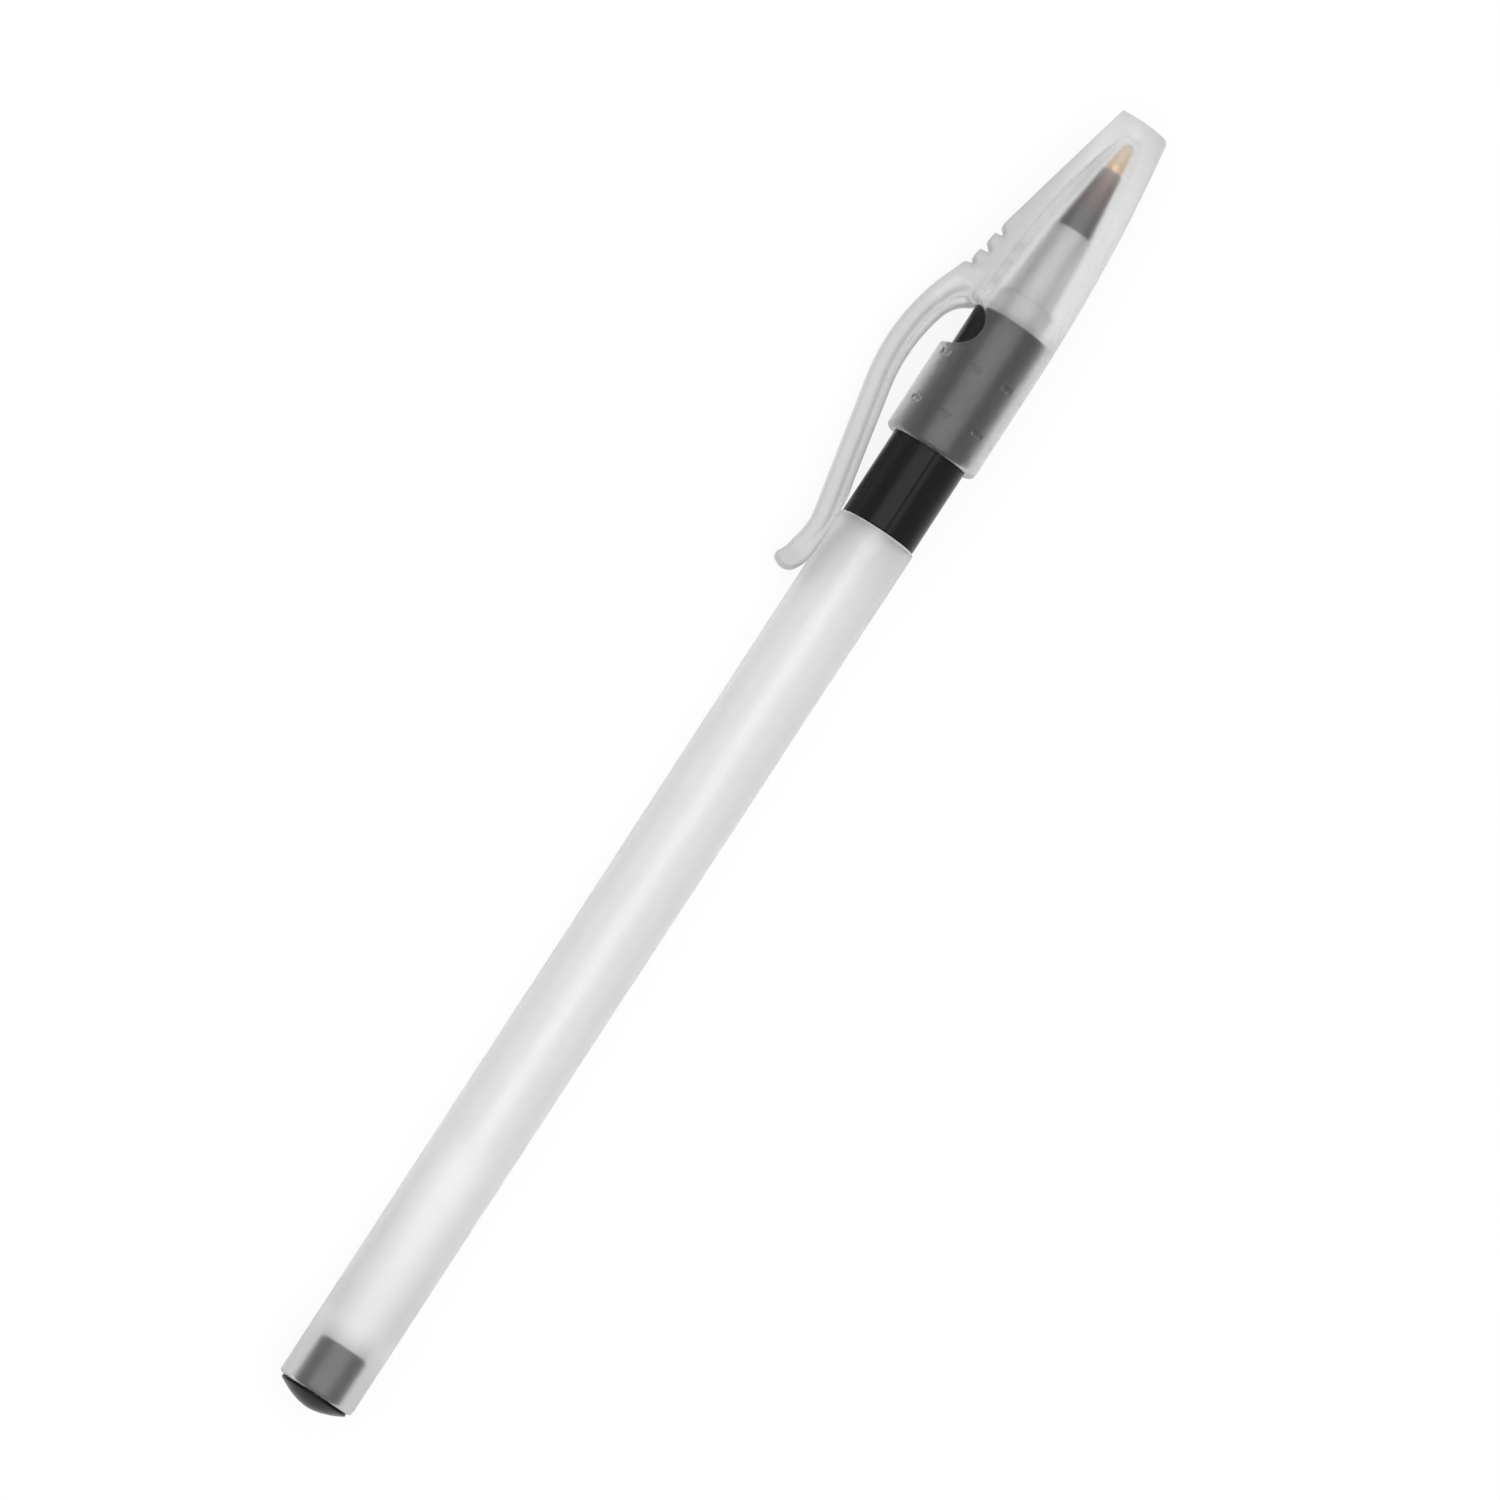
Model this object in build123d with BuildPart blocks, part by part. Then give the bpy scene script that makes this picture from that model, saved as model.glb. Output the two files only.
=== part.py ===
from build123d import *
import os
from math import asin, atan2, cos, degrees, hypot, radians, sin, sqrt

# A stick ballpoint pen with a pull-off clip cap, in millimetres, lying on its side as it rests on a table.
# X runs along the pen from tail to tip, and X = 0 is the tail face of the barrel.
# Names ending in _x are places along X, and names ending in _r or _d are sizes across the pen.

# Fits that hold by friction, such as a sleeve on its spigot, leave this radial gap
fit_gap = 0.02
# Cuts run past the faces they open by this much
overrun = 1.0

# Barrel: a translucent moulded tube, straight at the tail and then slightly wider towards the front,
# where it steps down to a hollow spigot, a collar and a tapered nose that holds the refill
barrel_length = 100.0
barrel_d = 8.4
barrel_tail_d = 8.2
barrel_tail_length = 45.0
barrel_wall = 1.4
tail_round = 0.45
shoulder_round = 0.25
spigot_wall = 0.57
bore_step_setback = 3.0
bore_step_length = 0.5
throat_setback = 3.1
throat_length = 4.0
nose_collar_length = 2.8
nose_collar_d = 5.9
nose_length = 8.2
nose_back_d = 5.3
nose_front_d = 4.2

# Grip: a soft black sleeve with two moulding seams, a little smaller than the barrel
grip_length = 24.1
grip_step = 0.18
grip_wall = 0.98
grip_end_chamfer = 0.2
seam_width = 0.3
seam_depth = 0.15
seam_count = 2
seam_angle = 99.8

# End plug: a domed disc on a cored spigot, with crush ribs that grip the bore
plug_flange_d = 7.3
plug_flange_length = 0.3
plug_dome_height = 1.2
plug_spigot_length = 5.3
plug_spigot_gap = 0.13
plug_wall = 1.0
plug_floor_length = 0.6
plug_lead = 0.3
rib_count = 8
rib_setback = 0.75
rib_length = 1.85
rib_width = 0.6

# Refill: a straight tube with its ink column, pushed into the nose from the front
refill_d = 3.1
refill_wall = 0.5
refill_length = 107.0
refill_empty_length = 18.0

# Tip holder: a cone that stops on the nose, with a spigot that plugs the refill tube
holder_length = 7.0
holder_back_d = 3.9
holder_front_d = 2.2
holder_spigot_length = 5.0
holder_bore_d = 1.1

# Brass tip with its captive writing ball
tip_length = 2.9
tip_land_length = 0.7
tip_d = 1.9
tip_shank_length = 4.4
tip_shank_d = 1.6
tip_feed_d = 0.4
tip_lip_wall = 0.07
ball_d = 1.0
ball_gap = 0.012
ball_show = 0.35
ball_ink_gap = 0.05

# Cap: a collar over the grip, a long taper over the tip, a side window under the clip
cap_bore_gap = 0.15
cap_wall = 0.85
cap_bore_length = 15.1
cap_straight_length = 11.3
cap_seat_gap = 0.3
cap_seat_step = 0.2
cap_mouth_round = 0.5
cap_mouth_lead = 0.2
cap_tip_bore_r = 0.7
cap_bore_swell = 0.85
cap_tip_gap = 0.45
cap_end_wall = 1.8
cap_end_d = 5.9
cap_end_chamfer = 0.25
window_r = 2.5
window_depth = 2.8
window_setback = 0.2

# Pips inside the collar, two rings of them, that click onto the grip
pip_count = 7
pip_start_angle = 29.0
pip_gap = 0.05
pip_sink = 0.3
pip_length = 1.3
pip_width = 0.5
pip_ring_setbacks = (3.6, 8.9)

# Clip: a springy arm over the collar, T-shaped in section, that curls up at its free end
clip_width = 4.4
clip_rib_width = 2.4
clip_thickness = 2.2
clip_plate_thickness = 1.15
clip_gap = 2.2
clip_crown_setback = 7.4
clip_arch_r = 21.5
clip_root_run = 9.8
clip_slope = 11.9
clip_bend_angle = 10.0
clip_web_angle = 13.0
clip_web_setback = 0.6
clip_pad_gap = 0.08
clip_foot_thickness = 1.67
clip_foot_r = 7.8
clip_lip_turn = 34.3
clip_lip_round = 1.6

# Fin from the clip's root to the cap's end, with thumb teeth along its back
fin_rise = 1.08
fin_trim = 0.55
tooth_count = 3
tooth_pitch = 2.1
tooth_depth = 1.0
tooth_flat = 0.55
tooth_ramp = 0.65

# Radii that follow from the sizes above
barrel_r = barrel_d / 2
barrel_tail_r = barrel_tail_d / 2
barrel_bore_r = barrel_tail_r - barrel_wall
grip_r = barrel_r - grip_step
grip_bore_r = grip_r - grip_wall
spigot_r = grip_bore_r - fit_gap
spigot_bore_r = spigot_r - spigot_wall
refill_r = refill_d / 2
refill_bore_r = refill_r - refill_wall
nose_bore_r = refill_r + fit_gap
holder_spigot_r = refill_bore_r - fit_gap
holder_seat_r = tip_shank_d / 2 + fit_gap
ball_r = ball_d / 2
socket_r = ball_r + ball_gap
cap_bore_r = grip_r + cap_bore_gap
collar_r = cap_bore_r + cap_wall
cap_end_r = cap_end_d / 2

# Places along the pen, from the tail to the tip
bore_step_x = barrel_length - bore_step_setback
grip_front_x = barrel_length + grip_length
throat_x = grip_front_x - throat_setback
nose_back_x = grip_front_x + nose_collar_length
nose_front_x = nose_back_x + nose_length
refill_tail_x = nose_front_x - refill_length
ink_tail_x = refill_tail_x + refill_empty_length
holder_tail_x = nose_front_x - holder_spigot_length
holder_front_x = nose_front_x + holder_length
shank_tail_x = holder_front_x - tip_shank_length
lip_x = holder_front_x + tip_length
ball_x = lip_x - (ball_r - ball_show)
tip_end_x = lip_x + ball_show

# Places along the cap, which seats on the grip's front end
cap_seat_x = grip_front_x + cap_seat_gap
cap_mouth_x = cap_seat_x - cap_bore_length
cap_taper_x = cap_mouth_x + cap_straight_length
cap_bore_end_x = tip_end_x + cap_tip_gap
cap_end_x = cap_bore_end_x + cap_end_wall
window_x = cap_seat_x - window_r - window_setback
window_height = collar_r - window_depth + window_r

# The clip's two arcs: an arch over the collar and an upturned foot on the barrel
crown_x = cap_mouth_x + clip_crown_setback
crown_r = collar_r + clip_gap + clip_thickness
arch_centre = (crown_x, crown_r - clip_arch_r)
root_angle = degrees(asin(clip_root_run / clip_arch_r))
pad_r = barrel_r + clip_pad_gap
foot_centre_r = pad_r + clip_foot_thickness + clip_foot_r
slope_sin = sin(radians(clip_slope))
slope_cos = cos(radians(clip_slope))
slope_drop = arch_centre[1] + clip_arch_r * slope_cos - (foot_centre_r - clip_foot_r * slope_cos)
slope_back_x = crown_x - clip_arch_r * slope_sin - slope_drop * slope_cos / slope_sin
foot_centre = (slope_back_x - clip_foot_r * slope_sin, foot_centre_r)

# At rest the collar and the clip's lower corner touch the same floor, which rolls the clip down this far
half_width = clip_width / 2
rest_roll = asin(collar_r / hypot(crown_r, half_width)) - atan2(half_width, crown_r)
clip_way = (0, cos(rest_roll), -sin(rest_roll))
clip_side = (0, sin(rest_roll), cos(rest_roll))

# In the side plane, x runs along the pen and y points along the clip
side = Plane(origin=(0, 0, 0), x_dir=(1, 0, 0), z_dir=clip_side)


def across(x):
    """The plane square to the pen at x, with its own x axis along the clip."""
    return Plane(origin=(x, 0, 0), x_dir=clip_way, z_dir=(1, 0, 0))


def arch_point(angle, depth):
    """A point of the clip's arch, by its angle from the crown towards the tip and its depth in the arm."""
    reach = clip_arch_r - depth
    return (arch_centre[0] + reach * sin(radians(angle)), arch_centre[1] + reach * cos(radians(angle)))


def foot_point(angle, depth):
    """A point of the clip's foot, by its angle from the lowest point towards the tip and its depth."""
    reach = clip_foot_r + depth
    return (foot_centre[0] + reach * sin(radians(angle)), foot_centre[1] - reach * cos(radians(angle)))


# Barrel
with BuildPart() as barrel:
    with BuildSketch(side) as barrel_half:
        with BuildLine():
            Polyline(
                (0, barrel_bore_r),
                (0, barrel_tail_r),
                (barrel_tail_length, barrel_tail_r),
                (barrel_length, barrel_r),
                (barrel_length, spigot_r),
                (grip_front_x, spigot_r),
                (grip_front_x, nose_collar_d / 2),
                (nose_back_x, nose_collar_d / 2),
                (nose_back_x, nose_back_d / 2),
                (nose_front_x, nose_front_d / 2),
                (nose_front_x, nose_bore_r),
                (throat_x, nose_bore_r),
                (throat_x - throat_length, spigot_bore_r),
                (bore_step_x + bore_step_length, spigot_bore_r),
                (bore_step_x, barrel_bore_r),
                close=True,
            )
        make_face()
        fillet(barrel_half.vertices().group_by(Axis.X)[0].sort_by(Axis.Y)[-1], radius=tail_round)
        fillet(barrel_half.vertices().sort_by(Axis.Y)[-1], radius=shoulder_round)
    revolve(axis=Axis.X)

# Grip sleeve
with BuildPart() as grip_sleeve:
    with BuildSketch(across(barrel_length)):
        Circle(grip_r)
        Circle(grip_bore_r, mode=Mode.SUBTRACT)
    extrude(amount=grip_length)
    grip_rims = grip_sleeve.edges().filter_by(GeomType.CIRCLE).group_by(SortBy.RADIUS)[-1]
    chamfer(grip_rims, length=grip_end_chamfer)
    with BuildSketch(across(barrel_length)):
        with PolarLocations(grip_r, seam_count, start_angle=seam_angle):
            Rectangle(2 * seam_depth, seam_width)
    extrude(amount=grip_length, mode=Mode.SUBTRACT)

# End plug
plug_spigot_r = barrel_bore_r - plug_spigot_gap
with BuildPart() as end_plug:
    with BuildSketch(side) as plug_half:
        with BuildLine():
            dome = TangentArc(
                (-plug_flange_length - plug_dome_height, 0),
                (-plug_flange_length, plug_flange_d / 2),
                tangent=(0, 1),
            )
            Polyline(
                dome @ 1,
                (0, plug_flange_d / 2),
                (0, plug_spigot_r),
                (plug_spigot_length, plug_spigot_r),
                (plug_spigot_length, plug_spigot_r - plug_wall),
                (plug_floor_length, plug_spigot_r - plug_wall),
                (plug_floor_length, 0),
                dome @ 0,
            )
        make_face()
        chamfer(plug_half.vertices().group_by(Axis.X)[-1].sort_by(Axis.Y)[-1], length=plug_lead)
    revolve(axis=Axis.X)
    with BuildSketch(across(rib_setback)):
        with PolarLocations(barrel_bore_r - fit_gap - plug_spigot_gap, rib_count):
            Rectangle(2 * plug_spigot_gap, rib_width)
    extrude(amount=rib_length)

# Refill tube
with BuildPart() as refill_tube:
    with BuildSketch(across(refill_tail_x)):
        Circle(refill_r)
        Circle(refill_bore_r, mode=Mode.SUBTRACT)
    extrude(amount=refill_length)

# Ink: the column in the tube and the thin threads of it through holder and tip
with BuildPart() as ink_column:
    with BuildSketch(side):
        with BuildLine():
            Polyline(
                (ink_tail_x, 0),
                (ink_tail_x, refill_bore_r - fit_gap),
                (holder_tail_x, refill_bore_r - fit_gap),
                (holder_tail_x, holder_bore_d / 2 - fit_gap),
                (shank_tail_x, holder_bore_d / 2 - fit_gap),
                (shank_tail_x, tip_feed_d / 2 - fit_gap),
                (ball_x - ball_r - ball_ink_gap, tip_feed_d / 2 - fit_gap),
                (ball_x - ball_r - ball_ink_gap, 0),
                close=True,
            )
        make_face()
    revolve(axis=Axis.X)

# Tip holder
with BuildPart() as tip_holder:
    with BuildSketch(side):
        with BuildLine():
            Polyline(
                (holder_tail_x, holder_bore_d / 2),
                (holder_tail_x, holder_spigot_r),
                (nose_front_x, holder_spigot_r),
                (nose_front_x, holder_back_d / 2),
                (holder_front_x, holder_front_d / 2),
                (holder_front_x, holder_seat_r),
                (shank_tail_x, holder_seat_r),
                (shank_tail_x, holder_bore_d / 2),
                close=True,
            )
        make_face()
    revolve(axis=Axis.X)

# Brass tip: a shank, a short land, a cone, and a lip rolled over the ball's widest point
lip_bore_r = sqrt(socket_r**2 - (lip_x - ball_x) ** 2)
lip_angle = degrees(atan2(lip_bore_r, lip_x - ball_x))
feed_angle = degrees(asin(tip_feed_d / 2 / socket_r))
with BuildPart() as tip_socket:
    with BuildSketch(side):
        with BuildLine():
            ball_seat = CenterArc((ball_x, 0), socket_r, lip_angle, 180 - feed_angle - lip_angle)
            Polyline(
                ball_seat @ 1,
                (shank_tail_x, tip_feed_d / 2),
                (shank_tail_x, tip_shank_d / 2),
                (holder_front_x, tip_shank_d / 2),
                (holder_front_x, tip_d / 2),
                (holder_front_x + tip_land_length, tip_d / 2),
                (lip_x, lip_bore_r + tip_lip_wall),
                ball_seat @ 0,
            )
        make_face()
    revolve(axis=Axis.X)

# Writing ball
with BuildPart() as writing_ball:
    with Locations((ball_x, 0, 0)):
        Sphere(ball_r)

# Cap
fin_back = arch_point(root_angle, 0)
fin_front_x = fin_back[0] + (tooth_count - 1) * tooth_pitch + tooth_flat + tooth_ramp
fin_front = (fin_front_x, collar_r + fin_rise)
fin_end = (cap_end_x, cap_end_r - fin_trim)
crest_fall = (fin_back[1] - fin_front[1]) / (fin_front[0] - fin_back[0])
fin_fall = (fin_front[1] - fin_end[1]) / (fin_end[0] - fin_front[0])
web_start = arch_point(clip_web_angle, clip_thickness)
web_way = (cos(radians(clip_web_angle)), -sin(radians(clip_web_angle)))
web_foot = (cap_seat_x - clip_web_setback, cap_bore_r)
root_inner = arch_point(root_angle, clip_thickness)


def tooth_outline():
    """The thumb teeth's outline: for each notch a drop, a flat and a ramp back to the crest line."""
    points = []
    for notch in range(tooth_count):
        drop_x = fin_back[0] + notch * tooth_pitch
        drop_r = fin_back[1] - notch * tooth_pitch * crest_fall
        ramp_x = drop_x + tooth_flat
        ramp_end_r = drop_r - (tooth_flat + tooth_ramp) * crest_fall
        points += [
            (drop_x, drop_r),
            (drop_x, drop_r - tooth_depth),
            (ramp_x, drop_r - tooth_depth),
            (ramp_x + tooth_ramp, ramp_end_r),
        ]
    return points


with BuildPart() as cap:
    # Outer shape, solid
    with BuildSketch(side) as cap_half:
        with BuildLine():
            Polyline((cap_mouth_x, 0), (cap_mouth_x, collar_r), (cap_taper_x, collar_r))
            TangentArc((cap_taper_x, collar_r), (cap_end_x, cap_end_r), tangent=(1, 0))
            Polyline((cap_end_x, cap_end_r), (cap_end_x, 0), (cap_mouth_x, 0))
        make_face()
        fillet(cap_half.vertices().group_by(Axis.X)[0].sort_by(Axis.Y)[-1], radius=cap_mouth_round)
        chamfer(cap_half.vertices().group_by(Axis.X)[-1].sort_by(Axis.Y)[-1], length=cap_end_chamfer)
    revolve(axis=Axis.X)
    # Round window across the collar, under the clip
    with BuildSketch(side):
        with Locations((window_x, window_height)):
            Circle(window_r)
    extrude(amount=collar_r, both=True, mode=Mode.SUBTRACT)
    # Rib and web of the clip's root, up to where the clip bends
    with BuildSketch(side):
        with BuildLine():
            ThreePointArc(
                arch_point(root_angle, 0),
                arch_point((root_angle + clip_bend_angle) / 2, 0),
                arch_point(clip_bend_angle, 0),
            )
            Line(arch_point(clip_bend_angle, 0), arch_point(clip_bend_angle, clip_thickness))
            ThreePointArc(
                arch_point(clip_bend_angle, clip_thickness),
                arch_point((clip_bend_angle + clip_web_angle) / 2, clip_thickness),
                web_start,
            )
            TangentArc(web_start, web_foot, tangent=web_way)
            Polyline(web_foot, (fin_back[0], cap_bore_r), arch_point(root_angle, 0))
        make_face()
    extrude(amount=clip_rib_width / 2, both=True)
    # Plate of the clip's root
    with BuildSketch(side):
        with BuildLine():
            ThreePointArc(
                arch_point(root_angle, 0),
                arch_point((root_angle + clip_bend_angle) / 2, 0),
                arch_point(clip_bend_angle, 0),
            )
            Line(arch_point(clip_bend_angle, 0), arch_point(clip_bend_angle, clip_plate_thickness))
            ThreePointArc(
                arch_point(clip_bend_angle, clip_plate_thickness),
                arch_point((root_angle + clip_bend_angle) / 2, clip_plate_thickness),
                arch_point(root_angle, clip_plate_thickness),
            )
            Line(arch_point(root_angle, clip_plate_thickness), arch_point(root_angle, 0))
        make_face()
    extrude(amount=clip_width / 2, both=True)
    # Fin with its thumb teeth
    with BuildSketch(side):
        with BuildLine():
            Polyline(
                (root_inner[0], 0),
                root_inner,
                *tooth_outline(),
                fin_end,
                (cap_end_x, 0),
                close=True,
            )
        make_face()
    extrude(amount=clip_width / 2, both=True)
    # Flat along the fin's line over the end of the taper
    with BuildSketch(side):
        with BuildLine():
            Polyline(
                fin_front,
                (cap_end_x + overrun, fin_end[1] - overrun * fin_fall),
                (cap_end_x + overrun, fin_front[1]),
                close=True,
            )
        make_face()
    extrude(amount=collar_r, both=True, mode=Mode.SUBTRACT)
    # Bore: a straight run over the grip, a seat, and a swelling taper over the tip
    with BuildSketch(side):
        with BuildLine():
            Polyline(
                (cap_mouth_x - overrun, 0),
                (cap_mouth_x - overrun, cap_bore_r + cap_mouth_lead),
                (cap_mouth_x, cap_bore_r + cap_mouth_lead),
                (cap_mouth_x + cap_mouth_lead, cap_bore_r),
                (cap_seat_x, cap_bore_r),
                (cap_seat_x, cap_bore_r - cap_seat_step),
            )
            SagittaArc(
                (cap_seat_x, cap_bore_r - cap_seat_step),
                (cap_bore_end_x, cap_tip_bore_r),
                cap_bore_swell,
            )
            Polyline((cap_bore_end_x, cap_tip_bore_r), (cap_bore_end_x, 0), (cap_mouth_x - overrun, 0))
        make_face()
    revolve(axis=Axis.X, mode=Mode.SUBTRACT)
    # Two rings of pips
    pip_height = cap_bore_gap - pip_gap + pip_sink
    for setback in pip_ring_setbacks:
        with BuildSketch(across(cap_mouth_x + setback - pip_width / 2)):
            with PolarLocations(grip_r + pip_gap + pip_height / 2, pip_count, start_angle=pip_start_angle):
                Rectangle(pip_height, pip_length)
        extrude(amount=pip_width)

# Clip from its bend to its free end


def arm_outline(depth):
    """The arm's long stretch, arch and slope, from its outer face to the given depth."""
    middle_angle = (clip_bend_angle - clip_slope) / 2
    ThreePointArc(
        arch_point(clip_bend_angle, 0),
        arch_point(middle_angle, 0),
        arch_point(-clip_slope, 0),
    )
    Polyline(
        arch_point(-clip_slope, 0),
        foot_point(clip_slope, 0),
        foot_point(clip_slope, depth),
        arch_point(-clip_slope, depth),
    )
    ThreePointArc(
        arch_point(-clip_slope, depth),
        arch_point(middle_angle, depth),
        arch_point(clip_bend_angle, depth),
    )
    Line(arch_point(clip_bend_angle, depth), arch_point(clip_bend_angle, 0))


with BuildPart() as cap_clip:
    for depth, width in ((clip_thickness, clip_rib_width), (clip_plate_thickness, clip_width)):
        with BuildSketch(side):
            with BuildLine():
                arm_outline(depth)
            make_face()
        extrude(amount=width / 2, both=True)
    # Foot: the arm at its full width, curled up at the lip
    with BuildSketch(side) as foot_face:
        with BuildLine():
            foot_middle = (clip_slope - clip_lip_turn) / 2
            ThreePointArc(
                foot_point(clip_slope, 0),
                foot_point(foot_middle, 0),
                foot_point(-clip_lip_turn, 0),
            )
            Line(foot_point(-clip_lip_turn, 0), foot_point(-clip_lip_turn, clip_thickness))
            ThreePointArc(
                foot_point(-clip_lip_turn, clip_thickness),
                foot_point(foot_middle, clip_thickness),
                foot_point(clip_slope, clip_thickness),
            )
            Line(foot_point(clip_slope, clip_thickness), foot_point(clip_slope, 0))
        make_face()
        fillet(foot_face.vertices().sort_by(Axis.X)[0], radius=clip_lip_round)
    extrude(amount=clip_width / 2, both=True)
    # Flat pad where the foot lies on the barrel
    with BuildSketch(side):
        with Locations((foot_centre[0], 0)):
            Rectangle(2 * (clip_foot_r + clip_thickness), pad_r, align=(Align.CENTER, Align.MIN))
    extrude(amount=clip_width, both=True, mode=Mode.SUBTRACT)

# Write each piece under its own name
pieces = {
    "barrel": barrel,
    "grip_sleeve": grip_sleeve,
    "end_plug": end_plug,
    "refill_tube": refill_tube,
    "ink_column": ink_column,
    "tip_holder": tip_holder,
    "tip_socket": tip_socket,
    "writing_ball": writing_ball,
    "cap": cap,
    "cap_clip": cap_clip,
}
os.makedirs("parts", exist_ok=True)
for node, piece in pieces.items():
    piece.part.label = node
    export_step(piece.part, f"parts/{node}.step")
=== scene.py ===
import math

import bmesh
import bpy
import numpy as np
from mathutils import Matrix, Vector


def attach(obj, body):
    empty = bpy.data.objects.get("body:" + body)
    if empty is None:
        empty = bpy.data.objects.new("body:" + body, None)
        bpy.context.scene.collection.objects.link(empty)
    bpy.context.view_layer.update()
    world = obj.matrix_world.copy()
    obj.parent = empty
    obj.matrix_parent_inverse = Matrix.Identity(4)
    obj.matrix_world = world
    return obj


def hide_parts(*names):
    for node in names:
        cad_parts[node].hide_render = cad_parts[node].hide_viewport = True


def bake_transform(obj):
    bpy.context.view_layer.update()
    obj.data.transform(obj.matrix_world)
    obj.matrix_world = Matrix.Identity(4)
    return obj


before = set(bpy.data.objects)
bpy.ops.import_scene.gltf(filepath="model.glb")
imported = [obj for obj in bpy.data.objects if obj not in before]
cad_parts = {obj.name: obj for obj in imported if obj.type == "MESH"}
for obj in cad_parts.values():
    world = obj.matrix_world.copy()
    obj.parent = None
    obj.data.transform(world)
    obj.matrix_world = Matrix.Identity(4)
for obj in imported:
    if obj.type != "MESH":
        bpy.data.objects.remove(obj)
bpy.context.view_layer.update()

# A stick ballpoint pen with its cap on, lying on a pale table. Sizes are in millimetres and become
# metres where a mesh is made. X runs along the pen from the barrel's tail face, at 0, to the tip.


# Barrel. The real one is a thick tube of clarified polypropylene, injection moulded in one piece with
# the spigot that takes the grip and the tapered nose that takes the refill. The mould is spark eroded,
# so the outside is matt and everything inside shows softly.

MM = 0.001
barrel_tail_r = 4.1
barrel_tail_run = 45.0
barrel_front_x = 100.0
barrel_front_r = 4.2
barrel_bore_r = 2.7
bore_step_back_x = 95.6
bore_step_front_x = 98.4
spigot_r = 3.02
spigot_bore_r = 2.45
throat_x = 121.0
throat_run = 4.0
grip_front_x = 124.1
stop_r = 2.95
nose_back_x = 126.9
nose_back_r = 2.65
nose_front_x = 135.1
nose_front_r = 2.1
nose_bore_r = 1.57
# Each corner is a place along the pen, a radius and a rounding
barrel_outline = [
    (0.0, barrel_bore_r, 0.15),
    (0.0, barrel_tail_r, 0.45),
    (barrel_tail_run, barrel_tail_r, 0.0),
    (barrel_front_x, barrel_front_r, 0.25),
    (barrel_front_x, spigot_r, 0.1),
    (grip_front_x, spigot_r, 0.03),
    (grip_front_x, stop_r, 0.03),
    (nose_back_x, stop_r, 0.2),
    (nose_back_x, nose_back_r, 0.12),
    (nose_front_x, nose_front_r, 0.15),
    (nose_front_x, nose_bore_r, 0.1),
    (throat_x, nose_bore_r, 0.3),
    (throat_x - throat_run, spigot_bore_r, 0.3),
    (bore_step_front_x, spigot_bore_r, 0.8),
    (bore_step_back_x, barrel_bore_r, 0.8),
]


def add_node(tree, kind, inputs=None, **settings):
    """Adds a node to a tree. An input is given as a value, or as the socket that it is linked from."""
    node = tree.nodes.new(kind)
    for name, value in settings.items():
        setattr(node, name, value)
    for key, value in (inputs or {}).items():
        if isinstance(value, bpy.types.NodeSocket):
            tree.links.new(value, node.inputs[key])
        else:
            node.inputs[key].default_value = value
    return node


def linear(code):
    """A colour written as sRGB hex, in the linear values that a shader takes."""
    shares = [int(code[i : i + 2], 16) / 255 for i in (1, 3, 5)]
    return [c / 12.92 if c <= 0.04045 else ((c + 0.055) / 1.055) ** 2.4 for c in shares] + [1.0]


def blank_material(name):
    """A material with an empty node tree, and that tree."""
    material = bpy.data.materials.new(name)
    material.use_nodes = True
    material.node_tree.nodes.clear()
    return material, material.node_tree


def patchy(tree, size, tones, matts, detail=3.0, lengthwise=1.0, swirl=0.0, span=(0.0, 1.0)):
    """The pattern, colour and roughness of a skin that varies over patches of a size in millimetres.
    A lengthwise value under 1 draws them out along the pen, and the roughness runs over the span."""
    place = add_node(tree, "ShaderNodeTexCoord").outputs["Object"]
    drawn_out = add_node(
        tree, "ShaderNodeMapping", {"Vector": place, "Scale": (lengthwise, 1.0, 1.0)}
    ).outputs[0]
    patches = add_node(
        tree,
        "ShaderNodeTexNoise",
        {"Vector": drawn_out, "Scale": 1 / (size * MM), "Detail": detail, "Distortion": swirl},
    ).outputs["Fac"]
    tone = add_node(
        tree,
        "ShaderNodeMix",
        {"Factor": patches, 6: linear(tones[0]), 7: linear(tones[1])},
        data_type="RGBA",
    ).outputs[2]
    ends = {"From Min": span[0], "From Max": span[1], "To Min": matts[0], "To Max": matts[1]}
    matt = add_node(tree, "ShaderNodeMapRange", {"Value": patches} | ends).outputs[0]
    return patches, tone, matt


polypropylene_ior = 1.49


def frosted_polypropylene(name, tones, see_through, matt, cast):
    """Moulded polypropylene with a spark-eroded skin. Light goes through it, blurred by the skin and
    greyed by cast in each millimetre, and a milky part of it comes back. The melt leaves faint clouds
    in it, drawn out along the pen. Gives the material and its shader node."""
    material, tree = blank_material(name)
    cloud_gain = 0.02
    clouds, milk, dull = patchy(
        tree, size=2.5, tones=tones, matts=(matt, matt + cloud_gain), lengthwise=0.25
    )
    plastic = add_node(
        tree,
        "ShaderNodeBsdfPrincipled",
        {
            "Base Color": milk,
            "Roughness": dull,
            "IOR": polypropylene_ior,
            "Transmission Weight": see_through,
        },
    )
    # The grey takes half of the density
    greying = add_node(
        tree, "ShaderNodeVolumeAbsorption", {"Color": linear("#BCBCBC"), "Density": 2 * cast / MM}
    ).outputs[0]
    add_node(tree, "ShaderNodeOutputMaterial", {"Surface": plastic.outputs[0], "Volume": greying})
    return material, plastic


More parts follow.
